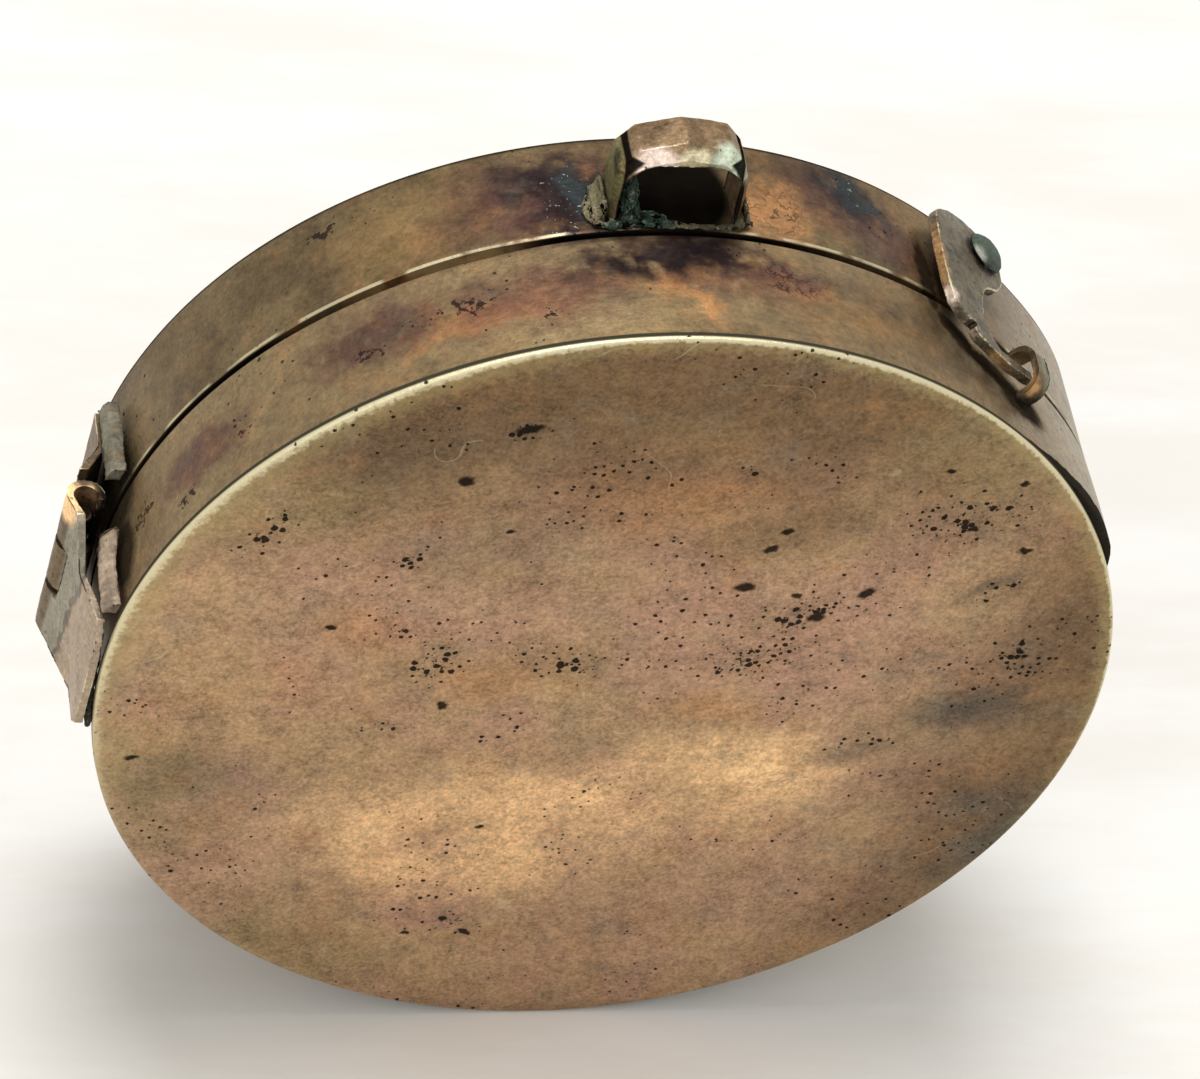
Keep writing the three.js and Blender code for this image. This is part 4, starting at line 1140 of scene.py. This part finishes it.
class RELIQUARY_OT_inside(bpy.types.Operator):
    """Builds the collar, the glazed window and the relic"""

    bl_idname = "reliquary.inside"
    bl_label = "Inside"

    def execute(self, context):
        form, c = form_of(context), colours_of(context)
        brass = plain_material("sheltered_brass", c.inside, c.gold, 1.5, 0.36, metallic=0.85)
        wood = plain_material(
            "aged_board", c.wood, c.fitting_dark, 0.8, 0.7, stretch=(0.12, 1, 1), depth=0.05
        )
        glass = plain_material(
            "old_glass", c.glass, c.glass, 8, 0.06, depth=0.004, Transmission_Weight=1.0, IOR=1.5
        )
        wax = plain_material(
            "old_wax", c.wax, c.gold, 1.4, 0.5, Subsurface_Weight=0.15, Subsurface_Scale=0.5 * MM
        )
        bone = plain_material("old_bone", c.bone, c.tan, 0.7, 0.62, stretch=(1, 1, 0.3), depth=0.06)
        solder = fitting_metal("aged_solder", c)
        for node, name, slot, look, wall in (
            ("inner_collar", "collar", "worn_brass", brass, form.collar_wall),
            ("pane_seat_ring", "seat_ring", "worn_brass", brass, form.ring_wall),
            ("relic_board", "board", "board", wood, None),
            ("glass_pane", "pane", "glass", glass, None),
        ):
            bm = self.ring(node, wall, form)
            finish_piece(name, mesh_of(bm, name), "body", slot, look, node)
        for node, name, body, slot, look, voxel, smoothing, dents, dent_size in (
            ("relic_bed", "wax_bed", "body", "wax", wax, 0.1, 3, 0.14, 1.1),
            ("relic_fragment", "bone_fragment", "body", "bone", bone, 0.1, 3, 0.14, 1.1),
            ("pane_spring_ring", "spring_ring", "body", "worn_brass", brass, 0.1, 3, 0.0, 1.1),
            ("lid_plate_solder", "lid_corner_solder", "lid", "solder", solder, 0.14, 2, 0.08, 1.2),
            ("body_plate_solder", "back_corner_solder", "body", "solder", solder, 0.14, 2, 0.08, 1.2),
        ):
            shape = (voxel * MM, smoothing, dents * MM, dent_size * MM)
            sculpted_piece(node, name, body, slot, look, *shape)
        return {"FINISHED"}

    def ring(self, node, wall, form):
        """A turned ring with a broken front edge, or a full plate where it has no wall."""
        low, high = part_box(node)
        soft, outer = form.edge_break, (high.x - low.x) / 2
        profile = [(outer - soft, low.y), (outer, low.y + soft), (outer, high.y)]
        if wall is None:
            profile = [(0, low.y), *profile, (0, high.y)]
        else:
            inner = outer - wall
            profile = [(inner + soft, low.y), *profile, (inner, high.y), (inner, low.y + soft)]
        bm = turned(profile, form.turn_steps, closed=wall is not None)
        soften(bm)
        return bm


# The camera, in millimetres in the frame, and its roll
CAMERA_PLACE = (-64.64, -195.55, 184.3)
CAMERA_AIM = (-2.95, -11.1, -17.6)
CAMERA_ROLL = 13.94
PHOTO_SENSOR = 36
# Half the floor's width, how near and far the camera sees, and the lamps' places and sizes, in metres
FLOOR_REACH = 1.5
NEAREST = 0.001
FARTHEST = 10
LAMPS = (("key", (-0.12, 0.3, 1.45), 0.7), ("fill", (-1.0, -0.8, 0.8), 0.8))


class RELIQUARY_OT_stage(bpy.types.Operator):
    """Builds the floor, the lamps, the sky and the camera"""

    bl_idname = "reliquary.stage"
    bl_label = "Stage"

    def execute(self, context):
        stage = context.scene.reliquary_stage
        bm = bmesh.new()
        bmesh.ops.create_grid(bm, x_segments=1, y_segments=1, size=FLOOR_REACH)
        bmesh.ops.translate(bm, vec=(0, 0, CAD_BOX[0].z), verts=bm.verts)
        floor = bpy.data.objects.new("floor", mesh_of(bm, "floor"))
        context.scene.collection.objects.link(floor)
        paint = plain_material(
            "painted_board", stage.floor, stage.floor_streak, 9, 0.75, depth=0.1, stretch=(0.25, 1, 1)
        )
        floor.data.materials.append(paint)
        target = middle("lid_plate")
        for (name, place, size), power in zip(LAMPS, (stage.key_power, stage.fill_power)):
            lamp = bpy.data.lights.new(name, "AREA")
            lamp.size = size
            lamp.energy = power
            holder = bpy.data.objects.new(name, lamp)
            holder.location = place
            holder.rotation_euler = (target - Vector(place)).to_track_quat("-Z", "Y").to_euler()
            context.scene.collection.objects.link(holder)
        self.sky(context, stage.sky_strength)
        self.camera(context, stage.lens)
        context.scene.view_settings.view_transform = "Standard"
        return {"FINISHED"}

    def sky(self, context, strength):
        """White to the camera, in reflections and through glass, softer as a light."""
        world = bpy.data.worlds.new("sky")
        context.scene.world = world
        world.use_nodes = True
        nodes, links = world.node_tree.nodes, world.node_tree.links
        nodes.clear()
        path = nodes.new("ShaderNodeLightPath")
        seen = path.outputs["Is Camera Ray"]
        for ray in ("Is Glossy Ray", "Is Transmission Ray"):
            either = nodes.new("ShaderNodeMath")
            either.operation = "MAXIMUM"
            links.new(seen, either.inputs[0])
            links.new(path.outputs[ray], either.inputs[1])
            seen = either.outputs[0]
        level = nodes.new("ShaderNodeMapRange")
        level.inputs["To Min"].default_value = strength
        level.inputs["To Max"].default_value = 1.0
        links.new(seen, level.inputs["Value"])
        light = nodes.new("ShaderNodeBackground")
        links.new(level.outputs[0], light.inputs["Strength"])
        light.inputs["Color"].default_value = (1, 1, 1, 1)
        end = nodes.new("ShaderNodeOutputWorld")
        links.new(light.outputs[0], end.inputs["Surface"])

    def camera(self, context, lens):
        """The camera at the photograph's angle."""
        data = bpy.data.cameras.new("camera")
        data.lens = lens
        data.sensor_width = PHOTO_SENSOR
        data.clip_start = NEAREST
        data.clip_end = FARTHEST
        camera = bpy.data.objects.new("camera", data)
        place, aim = Vector(CAMERA_PLACE) * MM, Vector(CAMERA_AIM) * MM
        turn = (aim - place).to_track_quat("-Z", "Y").to_matrix().to_4x4()
        roll = Matrix.Rotation(math.radians(CAMERA_ROLL), 4, "Z")
        camera.matrix_world = Matrix.Translation(place) @ turn @ roll
        context.scene.collection.objects.link(camera)
        context.scene.camera = camera


OPERATORS = (
    RELIQUARY_OT_discs,
    RELIQUARY_OT_bands,
    RELIQUARY_OT_loop,
    RELIQUARY_OT_hinge,
    RELIQUARY_OT_latch,
    RELIQUARY_OT_inside,
    RELIQUARY_OT_stage,
)


class RELIQUARY_PT_panel(bpy.types.Panel):
    """Lists the pieces and their settings"""

    bl_idname = "RELIQUARY_PT_panel"
    bl_label = "Pendant reliquary"
    bl_space_type = "VIEW_3D"
    bl_region_type = "UI"
    bl_category = "Reliquary"

    def draw(self, context):
        for operator in OPERATORS:
            self.layout.operator(operator.bl_idname)
        for group in ("reliquary_form", "reliquary_colours", "reliquary_stage"):
            settings = getattr(context.scene, group)
            for key in settings.bl_rna.properties.keys():
                if key not in ("rna_type", "name"):
                    self.layout.prop(settings, key)


CLASSES = (ReliquaryColours, ReliquaryForm, ReliquaryStage, *OPERATORS, RELIQUARY_PT_panel)


def register():
    for kind in CLASSES:
        bpy.utils.register_class(kind)
    bpy.types.Scene.reliquary_colours = PointerProperty(type=ReliquaryColours)
    bpy.types.Scene.reliquary_form = PointerProperty(type=ReliquaryForm)
    bpy.types.Scene.reliquary_stage = PointerProperty(type=ReliquaryStage)


def unregister():
    del bpy.types.Scene.reliquary_stage
    del bpy.types.Scene.reliquary_form
    del bpy.types.Scene.reliquary_colours
    for kind in reversed(CLASSES):
        bpy.utils.unregister_class(kind)


def main():
    register()
    bpy.ops.reliquary.discs()
    bpy.ops.reliquary.bands()
    bpy.ops.reliquary.loop()
    bpy.ops.reliquary.hinge()
    bpy.ops.reliquary.latch()
    bpy.ops.reliquary.inside()
    bpy.ops.reliquary.stage()
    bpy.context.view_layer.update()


if __name__ == "__main__":
    main()
